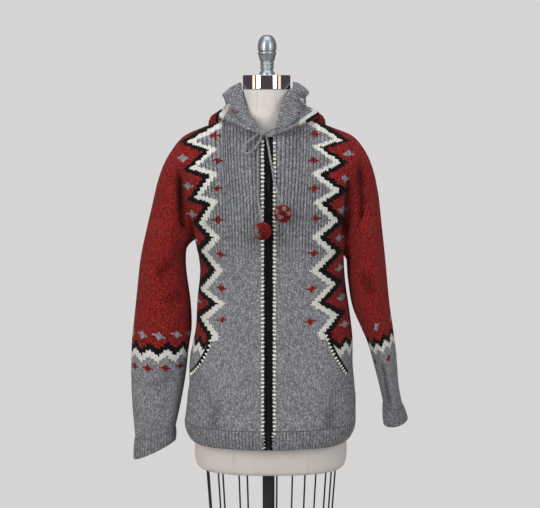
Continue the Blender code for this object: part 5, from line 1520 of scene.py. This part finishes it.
def cord_mesh(name, points, radius, material, closed=False):
    """A two-ply cord round a line of points, its plies twisted round each other."""
    points = np.asarray(points, float)
    along = unit(np.gradient(points, axis=0))
    side = unit(np.cross(along[0], (0.31, 0.92, 0.24)))
    turns = np.linspace(0, 2 * math.pi, CORD_SIDES, endpoint=False)
    rings = []
    for spot, way, run in zip(points, along, run_lengths(points)):
        side = unit(side - (side @ way) * way)
        up = np.cross(way, side)
        ply = 1.0 - PLY_DEPTH + PLY_DEPTH * np.abs(np.cos(turns - math.pi * run / CORD_TWIST))
        rings.append(spot + radius * ply[:, None] * (
            np.cos(turns)[:, None] * side + np.sin(turns)[:, None] * up
        ))
    faces = tube_faces(0, len(rings), CORD_SIDES, closed)
    mesh = mesh_of(name, np.concatenate(rings), faces)
    return settle(name, mesh, material, sharp=80)


def smooth_route(route, spacing):
    route = np.asarray(route, float)
    length = np.linalg.norm(np.diff(route, axis=0), axis=1).sum()
    return spline(route, np.linspace(0, 1, max(4, int(round(length / spacing))) + 1))


def build_knot(middle, material):
    """An overhand knot pulled tight."""
    t = np.linspace(0, 2 * math.pi, 91)[:-1]
    across = np.sin(t) + 2 * np.sin(2 * t)
    up = np.cos(t) - 2 * np.cos(2 * t)
    line = np.stack([across, -np.sin(3 * t), up], axis=1) * KNOT_SCALE
    line[:, 1] *= KNOT_DEPTH
    return cord_mesh("drawstring_knot_cord", line + middle, KNOT_CORD_RADIUS, material, closed=True)


def build_drawstring(material):
    """The free ends with their pompoms, the bow, the tie and the knot."""
    column = front_grid("left")[0]
    off = CORD_DIAMETER / 2 + CORD_OFF_CLOTH
    middle = np.array([KNOT[0], front_face(column, *KNOT) - KNOT_RADIUS - KNOT_OFF_CLOTH, KNOT[1]])
    knot = build_knot(middle, material)
    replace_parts(knot, "drawstring_knot")
    for side, route, ball in (
        ("right", RIGHT_CORD, RIGHT_POMPOM), ("left", LEFT_CORD, LEFT_POMPOM)
    ):
        ball_y = front_face(column, *ball) - POMPOM_RADIUS - POMPOM_OFF_CLOTH
        points = over_front(column, [(x, z, 0.0) for x, z in route], off)
        points = np.concatenate([from_knot(middle, points[0]), points[1:]])
        points[-1] = (ball[0], ball_y, ball[1] + POMPOM_RADIUS + SEAM_GAP)
        points[-2, 1] += (points[-1, 1] - points[-2, 1]) * CORD_LIFT_AT_POMPOM
        pompom = build_pompom(side, np.array([ball[0], ball_y, ball[1]]))
        points = smooth_route(points, CORD_STEP)
        declare_cord("drawstring_" + side, points, material)
    bow = over_front(column, BOW, off)
    bow = np.concatenate([from_knot(middle, bow[0]), bow[1:-1], from_knot(middle, bow[-1])[::-1]])
    declare_cord("drawstring_bow", smooth_route(bow, BEND_STEP), material)
    tie = over_front(column, TIE, off)
    tie = np.concatenate([from_knot(middle, tie[0]), tie[1:]])
    declare_cord("drawstring_tie", smooth_route(tie, BEND_STEP), material)


def declare_cord(node, points, material):
    fine = read_between(points, np.linspace(0, len(points) - 1, (len(points) - 1) * 9 + 1))
    obj = cord_mesh(node + "_cord", fine, CORD_DIAMETER / 2, material)
    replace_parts(obj, node)


# Grey patches on each pompom, as a direction and how wide the patch is
POMPOM_PATCHES = {
    "right": [((-0.75, -0.60, 0.10), 0.42), ((-0.45, -0.70, -0.45), 0.22), ((0.3, 0.9, 0.2), 0.5)],
    "left": [
        ((0.10, -0.72, 0.66), 0.30), ((-0.72, -0.50, 0.35), 0.30), ((-0.35, -0.86, -0.30), 0.26),
        ((0.74, -0.62, 0.05), 0.22), ((0.1, 0.9, 0.3), 0.5),
    ],
}
TUFTS = 1900
TUFT_SIDES = 4
TUFT_RADIUS = 0.00078
# Each ring of a tuft: how far out it lies, its girth and how light it is painted, darker inwards as
# painted shade and a little lighter at the tip as painted light
TUFT_RINGS = [(0.45, 0.55, 0.25), (0.80, 0.95, 0.60), (0.95, 1.0, 1.0), (1.0, 0.70, 1.15)]
TUFT_GREY = (0.280, 0.292, 0.310)
TUFT_RED = (0.215, 0.011, 0.013)
TUFT_FLECK = (0.520, 0.160, 0.090)
FLECK_SHARE = 0.07


def build_pompom(side, middle):
    """A trimmed ball of cut yarn ends, each tuft bent a little."""
    rng = np.random.default_rng(7 if side == "right" else 11)
    index = np.arange(TUFTS) + 0.5
    polar = np.arccos(1 - 2 * index / TUFTS)
    turn = math.pi * (1 + 5 ** 0.5) * index
    ways = np.stack([np.cos(turn) * np.sin(polar), np.sin(turn) * np.sin(polar), np.cos(polar)], 1)
    ways = unit(ways + rng.normal(0, 0.05, ways.shape))
    grey = np.zeros(TUFTS, bool)
    for way, width in POMPOM_PATCHES[side]:
        near = np.linalg.norm(ways - unit(np.array(way)), axis=1) + rng.normal(0, 0.11, TUFTS)
        grey |= near < width
    verts, faces, tones = [], [], []
    # Painted shade and light: each tuft's colour is scaled ring by ring, dark deep in the ball and bright
    # at the tip
    depth = np.repeat([light for _, _, light in TUFT_RINGS], TUFT_SIDES)
    for way, is_grey in zip(ways, grey):
        side_way = unit(np.cross(way, (0.3, 0.5, 0.8)))
        up = np.cross(way, side_way)
        reach = POMPOM_RADIUS * (1.0 + rng.normal(0, 0.030))
        bend = rng.normal(0, 0.0010, 2)
        faces += tube_faces(len(verts), len(TUFT_RINGS), TUFT_SIDES)
        for j, (share, thick, _) in enumerate(TUFT_RINGS):
            spot = way * reach * share + (side_way * bend[0] + up * bend[1]) * share ** 2
            girth = TUFT_RADIUS * thick
            verts += circle(middle + spot, side_way * girth, up * girth, TUFT_SIDES, j * 0.5)
        light = 1.0 + rng.normal(0, 0.20)
        tone = np.array(TUFT_GREY if is_grey else TUFT_RED) * light
        if not is_grey and rng.random() < FLECK_SHARE:
            tone = np.array(TUFT_FLECK)
        tones.append(np.concatenate([tone * depth[:, None], np.ones((len(depth), 1))], axis=1))
    mesh = mesh_of("pompom_" + side + "_tufts", verts, faces)
    colours = mesh.color_attributes.new("tuft", "FLOAT_COLOR", "POINT")
    colours.data.foreach_set("color", np.concatenate(tones).astype(np.float32).reshape(-1))
    obj = settle("pompom_" + side + "_tufts", mesh, POMPOM_WOOL)
    # The core is coloured darker than the tufts, as painted shade deep inside the ball
    core = bpy.data.meshes.new("pompom_" + side + "_core")
    bm = bmesh.new()
    bmesh.ops.create_icosphere(bm, subdivisions=4, radius=POMPOM_RADIUS * 0.86)
    for vert in bm.verts:
        waves = 0.03 * math.sin(vert.co.x * 2400) * math.sin(vert.co.z * 2100)
        vert.co = vert.co * (1 + waves) + Vector(middle)
    bm.to_mesh(core)
    bm.free()
    inside = settle("pompom_" + side + "_core", core, SHADED_CORE_WOOL)
    inside.parent = obj
    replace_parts(obj, "pompom_" + side)
    return obj


def zip_line():
    """The middle of the zip from the hem up, and its way out at each place."""
    column = front_grid("left")[0]
    below = np.array([body_point(zip_angle(HEM_Z, "left"), HEM_Z)])
    line = np.concatenate([below, column])
    line[:, 0] = 0.0
    steps = np.linalg.norm(np.diff(line, axis=0), axis=1)
    fine = spline(line, np.linspace(0, 1, int(round(steps.sum() / ROW)) + 1))
    return fine, unit(np.cross((1.0, 0.0, 0.0), np.gradient(fine, axis=0)))


# Cream stitches: thickness, height, and half length and spacing on the fronts, hem and pockets
BEAD_SIDES = 10
BEAD_RINGS = 7
BEAD_TAPER = 0.38
BEAD_THICK = 0.0014
BEAD_HIGH = 0.0019
FRONT_BEAD = (0.0040, 0.0086)
HEM_BEAD = (0.0054, 0.0078)
BEAD_OFF_ZIP = (0.0122, 0.0007)
POCKET_BEADS = 13
POCKET_BEAD_HALF = 0.0042
POCKET_BEAD_OFF = (0.0042, 0.0002)
# Black edgings: how far each line stands out, and the pocket edge's width and shift
ZIP_CROWN = (0.0002, 0.0010, 0.0012, 0.0010, 0.0002)
POCKET_CROWN = (0.0, 0.7, 1.0, 0.7, 0.0)
POCKET_CROWN_HEIGHT = 0.0010
POCKET_TRIM_WIDTH = 0.0070
POCKET_TRIM_SHIFT = 0.0008
POCKET_STEPS = 40
# Zip teeth: spacing, outline along and out of the line, sizes, and the tape behind them
TOOTH_SPACING = 0.00145
TOOTH_OUTLINE = ((-1, -1), (1, -1), (1, 0.55), (0.55, 1), (-0.55, 1), (-1, 0.55))
TOOTH_HALVES = (0.0009, 0.00052, 0.0006)
TOOTH_ASIDE = 0.00035
TAPE_BEHIND = 0.0012
ZIP_END = 0.004


def bead_mesh(name, beads, material):
    """Edge stitches: each a drop of yarn given by its middle, its long way, its way out and sizes."""
    verts, faces = [], []
    for middle, way, out, half, high in beads:
        across = np.cross(out, way)
        faces += tube_faces(len(verts), BEAD_RINGS + 1, BEAD_SIDES, caps=False)
        for j in range(BEAD_RINGS + 1):
            polar = math.pi * j / BEAD_RINGS
            along = math.cos(polar)
            girth = math.sin(polar) * (1.0 - BEAD_TAPER * along)
            spot = middle + way * half * along
            verts += circle(spot, across * high * girth, out * BEAD_THICK * girth, BEAD_SIDES)
    mesh = mesh_of(name, verts, faces)
    face_outward(mesh, 1e-7)
    return settle(name, mesh, material, sharp=70)


def build_edging(side, line, outward, knit):
    """The black knitted edge along one side of the zip."""
    xs = np.linspace(ZIP_BAND_INSIDE, ZIP_BAND_OUTSIDE, 5)
    if side == "right":
        xs = xs[::-1]
    grid = np.stack([line + np.array([side_sign(side) * x, 0.0, 0.0]) for x in xs])
    outer = grid + outward[None] * np.array(ZIP_CROWN)[:, None, None]
    yarn = np.full((4, len(line) - 1), BLACK)
    piece = shell("zip_edging_" + side, outer, grid - outward[None] * CLOTH, knit, yarn,
                  np.ones((5, len(line))))
    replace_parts(piece, "zip_band_" + side)


def build_zip(knit, cream):
    """Black edgings, the cream stitches over their joins and the zip's own teeth."""
    line, outward = zip_line()
    length = run_lengths(line)
    beside, off = BEAD_OFF_ZIP
    for side in ("right", "left"):
        sign = side_sign(side)
        build_edging(side, line, outward, knit)
        beads = []
        run = 0.005 if side == "right" else 0.007
        rng = np.random.default_rng(3 if side == "right" else 4)
        while run < length[-1] - 0.006:
            spot = line_place(line, length, run)
            out = unit(line_place(outward, length, run))
            half, spacing = HEM_BEAD if run < HEM_SEAM_Z - HEM_Z else FRONT_BEAD
            half *= 1 + rng.normal(0, 0.12)
            middle = spot + np.array([sign * (beside + rng.normal(0, 0.0003)), 0.0, 0.0]) + out * off
            way = unit(np.array([-sign, 0.0, rng.normal(0.16, 0.12)]))
            way = unit(way - (way @ out) * out)
            beads.append((middle, way, out, half, BEAD_HIGH * (1 + rng.normal(0, 0.12))))
            run += spacing * (1 + rng.normal(0, 0.04))
        bead_mesh("zip_edge_stitches_" + side, beads, cream)
    build_teeth(line, outward, length)


def build_teeth(line, outward, length):
    """The zip's closed coil on its tape."""
    verts, faces = [], tube_faces(0, len(line), 4)
    for spot, out in zip(line, outward):
        for sign, depth in ((-1, TAPE_BEHIND), (1, TAPE_BEHIND), (1, CLOTH), (-1, CLOTH)):
            verts.append(spot + np.array([sign * CHAIN_HALF, 0, 0]) - out * depth)
    wide, long, deep = TOOTH_HALVES
    run = ZIP_END
    side = 1
    while run < length[-1] - ZIP_END:
        out = unit(line_place(outward, length, run))
        along = np.cross(out, (1.0, 0.0, 0.0))
        middle = line_place(line, length, run) + np.array([side * TOOTH_ASIDE, 0, 0]) - out * deep
        faces += tube_faces(len(verts), 2, len(TOOTH_OUTLINE))
        for end in (-wide, wide):
            for b, c in TOOTH_OUTLINE:
                verts.append(middle + np.array([end, 0, 0]) + along * b * long + out * c * deep)
        run += TOOTH_SPACING
        side = -side
    mesh = mesh_of("zip_teeth", verts, faces)
    face_outward(mesh)
    obj = settle("zip_teeth", mesh, ZIP_METAL, sharp=30)
    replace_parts(obj, "zip_chain")


def panel_point(grid, across, up):
    column = across * (grid.shape[0] - 1)
    row = up * LOWER_ROWS
    return read_between(read_between(grid, [column]), [row], axis=1)[0, 0]


def build_pocket(side, knit, cream):
    """The black rolled edge of a slant pocket and its cream stitches."""
    route = RIGHT_POCKET if side == "right" else LEFT_POCKET
    grid = front_grid(side)
    normals = grid_normals(grid, side_sign(side))
    places = spline(route, np.linspace(0, 1, POCKET_STEPS + 1))
    points = np.array([panel_point(grid, a, b) for a, b in places])
    outward = unit([panel_point(normals, a, b) for a, b in places])
    along = unit(np.gradient(points, axis=0))
    across = unit(np.cross(outward, along)) * side_sign(side)
    crown = np.array(POCKET_CROWN) * POCKET_CROWN_HEIGHT
    lift = POCKET_EDGE_LIFT + POCKET_EDGE_CLOTH
    outer = np.stack([
        points + outward * (lift + high) + across * (share * POCKET_TRIM_WIDTH + POCKET_TRIM_SHIFT)
        for share, high in zip(np.linspace(-0.5, 0.5, 5), crown)
    ])
    inner = outer - outward[None] * (POCKET_EDGE_CLOTH + crown[:, None, None])
    yarn = np.full((4, POCKET_STEPS), BLACK)
    piece = shell("pocket_trim_" + side, outer, inner, knit, yarn, np.ones((5, POCKET_STEPS + 1)))
    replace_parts(piece, "pocket_edge_" + side)
    rng = np.random.default_rng(21 if side == "right" else 22)
    beside, off = POCKET_BEAD_OFF
    beads = []
    for k in np.linspace(1.5, 38.5, POCKET_BEADS):
        i = int(k)
        way = unit(across[i] + along[i] * rng.normal(0.15, 0.12))
        middle = points[i] - across[i] * beside + outward[i] * (lift + off)
        half = POCKET_BEAD_HALF * (1 + rng.normal(0, 0.10))
        beads.append((middle, way, outward[i], half, BEAD_HIGH))
    bead_mesh("pocket_stitches_" + side, beads, cream)


def build_torso(linen, thread):
    """The linen torso, smooth through its sections, and its seams."""
    table = np.array(TORSO_SECTIONS)
    sections = read_between(table, np.linspace(0.0, len(table) - 1, TORSO_ROWS + 1))
    grid = np.zeros((TORSO_SIDES, TORSO_ROWS + 1, 3))
    for j, (z, middle, half, front, back, squareness) in enumerate(sections):
        for i in range(TORSO_SIDES):
            angle = 2 * math.pi * i / TORSO_SIDES
            depth = front if math.cos(angle) > 0 else back
            x, y = section_point(half, depth, squareness, angle)
            grid[i, j] = (middle + x, y, z)
    faces, uvs = [], []
    rows = TORSO_ROWS + 1
    reach = 0.9 / TORSO_SIDES
    for i in range(TORSO_SIDES):
        near, far = i * rows, (i + 1) % TORSO_SIDES * rows
        for j in range(TORSO_ROWS):
            faces.append((near + j, far + j, far + j + 1, near + j + 1))
            low, high = grid[i, j, 2], grid[i, j + 1, 2]
            left, right = i * reach, (i + 1) * reach
            uvs.extend([(left, low), (right, low), (right, high), (left, high)])
    faces.append(tuple(i * rows for i in range(TORSO_SIDES))[::-1])
    uvs.extend([(x, y) for x, y, _ in grid[:, 0]][::-1])
    faces.append(tuple(i * rows + TORSO_ROWS for i in range(TORSO_SIDES)))
    uvs.extend([(x, y) for x, y, _ in grid[:, TORSO_ROWS]])
    mesh = mesh_of("torso_linen", grid.reshape(-1, 3), faces)
    corner_map(mesh, "threads", uvs)
    point_shade(mesh, np.ones((TORSO_SIDES, rows), np.float32))
    torso = settle("torso_linen", mesh, linen)
    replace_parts(torso, "form_torso")
    build_seams(grid, thread)


def build_seams(grid, thread):
    lines = [(grid[int(round(share * TORSO_SIDES)) % TORSO_SIDES, 2:], False) for share in TORSO_SEAMS]
    neck = int(np.argmin(np.abs(grid[0, :, 2] - NECK_SEAM_Z)))
    ring = grid[:, neck].copy()
    turns = np.arange(TORSO_SIDES) * 2 * math.pi / TORSO_SIDES
    ring[:, 2] += -NECK_SEAM_DIP * np.cos(turns) + NECK_SEAM_LIFT
    lines.append((ring, True))
    verts, faces = [], []
    for points, closed in lines:
        way = unit(np.gradient(points, axis=0))
        out = np.column_stack([points[:, :2], np.zeros(len(points))])
        out = unit(out - (out * way).sum(1)[:, None] * way) * SEAM_THREAD_RADIUS
        side = np.cross(way, out)
        faces += tube_faces(len(verts), len(points), 6, closed)
        for spot, first, second in zip(points, side, out):
            verts += circle(spot, first, second, 6)
    settle("torso_seams", mesh_of("torso_seams", verts, faces), thread)


def lathe(name, profile, middle, material, steps=96, sharp=40):
    """A profile of radius and height, listed from the top down, turned about a vertical axis."""
    verts, faces, rows = [], [], []
    middle = np.array(middle, float)
    for radius, height in profile:
        spot = middle + UP * height
        if radius < 1e-6:
            rows.append([len(verts)] * steps)
            verts.append(spot)
            continue
        rows.append([len(verts) + k for k in range(steps)])
        verts += circle(spot, np.array([radius, 0, 0]), np.array([0, radius, 0]), steps)
    for high, low in zip(rows, rows[1:]):
        for k in range(steps):
            n = (k + 1) % steps
            ring = [high[k], low[k], low[n], high[n]]
            face = [v for i, v in enumerate(ring) if v not in ring[:i]]
            if len(face) > 2:
                faces.append(face)
    return settle(name, mesh_of(name, verts, faces), material, sharp=sharp)


def build_neck(chrome, satin):
    """The mirror cap with rounded edges and the turned finial on it."""
    inner, height = CAP_RADIUS - CAP_EDGE, CAP_TOP - CAP_BOTTOM
    turns = np.linspace(0, math.pi / 2, 5)
    corner = [(inner + CAP_EDGE * math.sin(a), height - CAP_EDGE + CAP_EDGE * math.cos(a)) for a in turns]
    foot = [(inner + CAP_EDGE * math.cos(a), CAP_EDGE - CAP_EDGE * math.sin(a)) for a in turns]
    flat = CAP_RADIUS * 0.6
    cap = [(0.0, height), (flat, height)] + corner + foot + [(flat, 0.0), (0.0, 0.0)]
    piece = lathe("cap_mirror", cap, (NECK_X, 0.0, CAP_BOTTOM), chrome, 160, 50)
    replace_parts(piece, "neck_cap")
    top = spline(FINIAL_PROFILE[:6], np.linspace(0, 1, 25))
    ring = spline(FINIAL_PROFILE[5:9], np.linspace(0, 1, 17))[1:]
    stem = spline(FINIAL_PROFILE[8:16], np.linspace(0, 1, 43))[1:]
    turned = [(max(0.0, float(r)), float(h)) for r, h in np.concatenate([top, ring, stem])]
    turned += [(FINIAL_PROFILE[-2][0], 0.0), (0.0, 0.0)]
    turned[0] = (0.0, FINIAL_PROFILE[0][1])
    place = (NECK_X + FINIAL_SHIFT, 0.0, FINIAL_BOTTOM)
    piece = lathe("finial_turned", turned, place, satin, 72)
    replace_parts(piece, "finial")


def rods_mesh(name, rods, material, sides=12):
    """Straight round rods, each from one place to another with its radius, as one piece."""
    verts, faces = [], []
    for start, end, radius in rods:
        start, end = np.array(start, float), np.array(end, float)
        way = unit(end - start)
        side = unit(np.cross(way, (0.36, 0.84, 0.41)))
        up = np.cross(way, side)
        faces += tube_faces(len(verts), 2, sides)
        for spot in (start, end):
            verts += circle(spot, side * radius, up * radius, sides)
    return settle(name, mesh_of(name, verts, faces), material, sharp=40)


def build_stand(paint):
    """The cast base, the pole, the wire cage with its spokes and hoop, and the collar."""
    bottom = TORSO_SECTIONS[0][0]
    hub = BASE_HUB_RADIUS
    base = [
        (0.0, BASE_TOP), (hub * 0.8, BASE_TOP), (hub * 0.95, BASE_TOP - 0.0015),
        (hub, BASE_TOP - 0.006), (hub + 0.008, BASE_EDGE + 0.012), (hub + 0.024, BASE_EDGE + 0.0065),
        (BASE_RADIUS - 0.02, BASE_EDGE + 0.003), (BASE_RADIUS - 0.004, BASE_EDGE + 0.0012),
        (BASE_RADIUS, BASE_EDGE - 0.002), (BASE_RADIUS, 0.001), (BASE_RADIUS - 0.001, 0.0), (0.0, 0.0),
    ]
    piece = lathe("base_cast", base, (0.0, 0.0, 0.0), paint, 128, 30)
    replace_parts(piece, "base")
    tube = ((0, 0, BASE_TOP + SEAM_GAP), (0, 0, bottom - SEAM_GAP), POLE_RADIUS)
    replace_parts(rods_mesh("pole_tube", [tube], paint, 48), "pole")
    build_cage(paint, bottom)
    half = COLLAR_HEIGHT / 2
    inside = POLE_RADIUS + SEAM_GAP
    collar = [
        (inside, half), (COLLAR_RADIUS - 0.001, half), (COLLAR_RADIUS, half - 0.001),
        (COLLAR_RADIUS, -half + 0.001), (COLLAR_RADIUS - 0.001, -half), (inside, -half), (inside, half),
    ]
    piece = lathe("collar_turned", collar, (0.0, 0.0, CAGE_RING_Z), paint, 64, 30)
    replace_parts(piece, "cage_collar")


def build_cage(paint, bottom):
    wide, deep = CAGE_BOTTOM
    low = CAGE_RING_Z + CAGE_RING_WIRE + CAGE_WIRE_GAP
    rods = []
    for i in range(CAGE_WIRES):
        angle = CAGE_START + 2 * math.pi * i / CAGE_WIRES
        ends = [
            (CAGE_MIDDLE_X + reach[0] * math.sin(angle), -reach[1] * math.cos(angle), z)
            for reach, z in ((CAGE_BOTTOM, low), (CAGE_TOP, bottom - CAGE_WIRE_GAP))
        ]
        rods.append((*ends, CAGE_WIRE_RADIUS))
    near = COLLAR_RADIUS + SEAM_GAP
    for x, y, reach in (
        (0, -1, deep), (0, 1, deep), (-1, 0, wide - CAGE_MIDDLE_X), (1, 0, wide + CAGE_MIDDLE_X)
    ):
        far = reach - CAGE_RING_WIRE - SEAM_GAP
        ends = [(x * run, y * run, CAGE_RING_Z) for run in (near, far)]
        rods.append((*ends, CAGE_SPOKE_RADIUS))
    names = [f"cage_wire_{i + 1:02d}" for i in range(CAGE_WIRES)]
    names += ["cage_spoke_" + way for way in ("front", "back", "right", "left")]
    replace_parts(rods_mesh("cage_rods", rods, paint), *names)
    verts = []
    for k in range(CAGE_RING_STEPS):
        turn = 2 * math.pi * k / CAGE_RING_STEPS
        spot = np.array([wide * math.sin(turn) + CAGE_MIDDLE_X, -deep * math.cos(turn), CAGE_RING_Z])
        out = np.array([math.sin(turn), -math.cos(turn), 0.0])
        verts += circle(spot, out * CAGE_RING_WIRE, UP * CAGE_RING_WIRE, 12)
    faces = [face[::-1] for face in tube_faces(0, CAGE_RING_STEPS, 12, closed=True)]
    piece = settle("cage_hoop", mesh_of("cage_hoop", verts, faces), paint)
    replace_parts(piece, "cage_ring")


CAMERA_PLACE = (0.0032, -2.6, 1.45)
CAMERA_TILT = 82.0
CAMERA_LENS = 80.0
# Name, place, height lit on the form, size, power and colour of each light
LIGHTS = [
    ("soft_right", (-1.75, -2.08, 1.98), 1.40, (0.85, 2.1), 50, (1.0, 0.985, 0.965)),
    ("soft_left", (1.75, -2.08, 1.98), 1.40, (0.85, 2.1), 31, (0.97, 0.985, 1.0)),
    ("soft_above", (0.0, -0.6, 3.4), 1.0, (2.2, 1.8), 34, (1.0, 1.0, 1.0)),
    ("warm_right", (-3.2, -1.5, 1.45), 1.45, (0.9, 2.2), 9, (1.0, 0.80, 0.62)),
    ("warm_left", (3.2, -1.5, 1.45), 1.45, (0.9, 2.2), 7, (1.0, 0.78, 0.62)),
]
# Colour and strength of the surroundings as they show, as they light and as they are mirrored
SEEN_WALL = ((0.672, 0.660, 0.655), 1.0)
LIT_WALL = ((0.60, 0.60, 0.62), 0.40)
MIRRORED_WALL = ((0.075, 0.062, 0.066), 1.0)
FLOOR_RADIUS = 1.30
FLOOR_THICKNESS = 0.01
FLOOR_Z = -0.0005


def build_camera():
    data = bpy.data.cameras.new("camera")
    data.lens = CAMERA_LENS
    data.sensor_width = 36.0
    camera = bpy.data.objects.new("camera", data)
    camera.location = CAMERA_PLACE
    camera.rotation_euler = (math.radians(CAMERA_TILT), 0.0, 0.0)
    bpy.context.scene.collection.objects.link(camera)
    bpy.context.scene.camera = camera


def build_light(name, place, height, size, power, colour):
    data = bpy.data.lights.new(name, "AREA")
    data.shape = "RECTANGLE"
    data.size, data.size_y = size
    data.energy = power
    data.color = colour
    obj = bpy.data.objects.new(name, data)
    obj.location = place
    way = Vector((0, 0, height)) - Vector(place)
    obj.rotation_euler = way.to_track_quat("-Z", "Y").to_euler()
    bpy.context.scene.collection.objects.link(obj)


def wall_shader(node, wall):
    colour, strength = wall
    node.inputs["Color"].default_value = (*colour, 1.0)
    node.inputs["Strength"].default_value = strength
    return node.outputs[0]


def mixed_shader(tree, share, first, second):
    mix = tree.nodes.new("ShaderNodeMixShader")
    for socket, output in zip(mix.inputs, (share, first, second)):
        tree.links.new(output, socket)
    return mix.outputs[0]


def build_studio():
    """Two tall soft lights in front, a faint one above, pale surroundings and a pale floor."""
    for light in LIGHTS:
        build_light(*light)
    world = bpy.data.worlds.new("studio")
    bpy.context.scene.world = world
    world.use_nodes = True
    tree = world.node_tree
    lit = wall_shader(tree.nodes["Background"], LIT_WALL)
    seen = wall_shader(tree.nodes.new("ShaderNodeBackground"), SEEN_WALL)
    mirrored_wall = wall_shader(tree.nodes.new("ShaderNodeBackground"), MIRRORED_WALL)
    path = tree.nodes.new("ShaderNodeLightPath")
    shiny = mixed_shader(tree, path.outputs["Is Glossy Ray"], lit, mirrored_wall)
    mix = mixed_shader(tree, path.outputs["Is Camera Ray"], shiny, seen)
    tree.links.new(mix, tree.nodes["World Output"].inputs["Surface"])
    profile = [(0.0, 0.0), (0.0, -FLOOR_THICKNESS), (FLOOR_RADIUS, -FLOOR_THICKNESS), (FLOOR_RADIUS, 0.0)]
    floor = lathe("floor", profile, (0, 0, FLOOR_Z), floor_material())


def declare_sheet(piece, node):
    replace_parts(piece, node)


view = bpy.context.scene.view_settings
view.view_transform = "Standard"
build_camera()
POMPOM_WOOL = pompom_material()
# Painted shade: the pompom's core wool is a darker red than the tufts, standing for the shade between
# their inner ends
SHADED_CORE_WOOL = wool_material("pompom_core_shaded_wool", (0.050, 0.004, 0.004), (0.110, 0.010, 0.008))
ZIP_METAL = black_material("zip_blackened", (0.012, 0.012, 0.013), 0.30, 0.6)
GREY_WOOL = wool_material("cord_grey_wool", (0.060, 0.064, 0.074), (0.330, 0.340, 0.360), 700.0)
build_drawstring(GREY_WOOL)
KNIT = knit_material("knit_wool")
CREAM_WOOL = wool_material("edge_cream_wool", (0.640, 0.615, 0.530), (0.880, 0.860, 0.780))
for wearer_side in ("right", "left"):
    sleeve = "sleeve_" + wearer_side
    declare_sheet(build_front(wearer_side, KNIT), "front_" + wearer_side)
    declare_sheet(build_sleeve(wearer_side, KNIT), sleeve)
    declare_sheet(build_cuff(wearer_side, KNIT), "cuff_" + wearer_side)
    build_pocket(wearer_side, KNIT, CREAM_WOOL)
declare_sheet(build_back(KNIT), "back")
declare_sheet(build_hem(KNIT), "hem_band")
declare_sheet(build_hood(KNIT), "hood")
declare_sheet(build_hood_band(KNIT), "hood_band")
build_zip(KNIT, CREAM_WOOL)
build_torso(linen_material(), wool_material("seam_thread", (0.42, 0.38, 0.34), (0.52, 0.48, 0.43)))
build_neck(chrome_material(), satin_material())
build_stand(black_material("stand_black", (0.010, 0.010, 0.011), 0.38))
for node_name in ("zip_slider", "zip_pull_tab"):
    for holder in NODES[node_name].material_slots:
        holder.material = ZIP_METAL
build_studio()
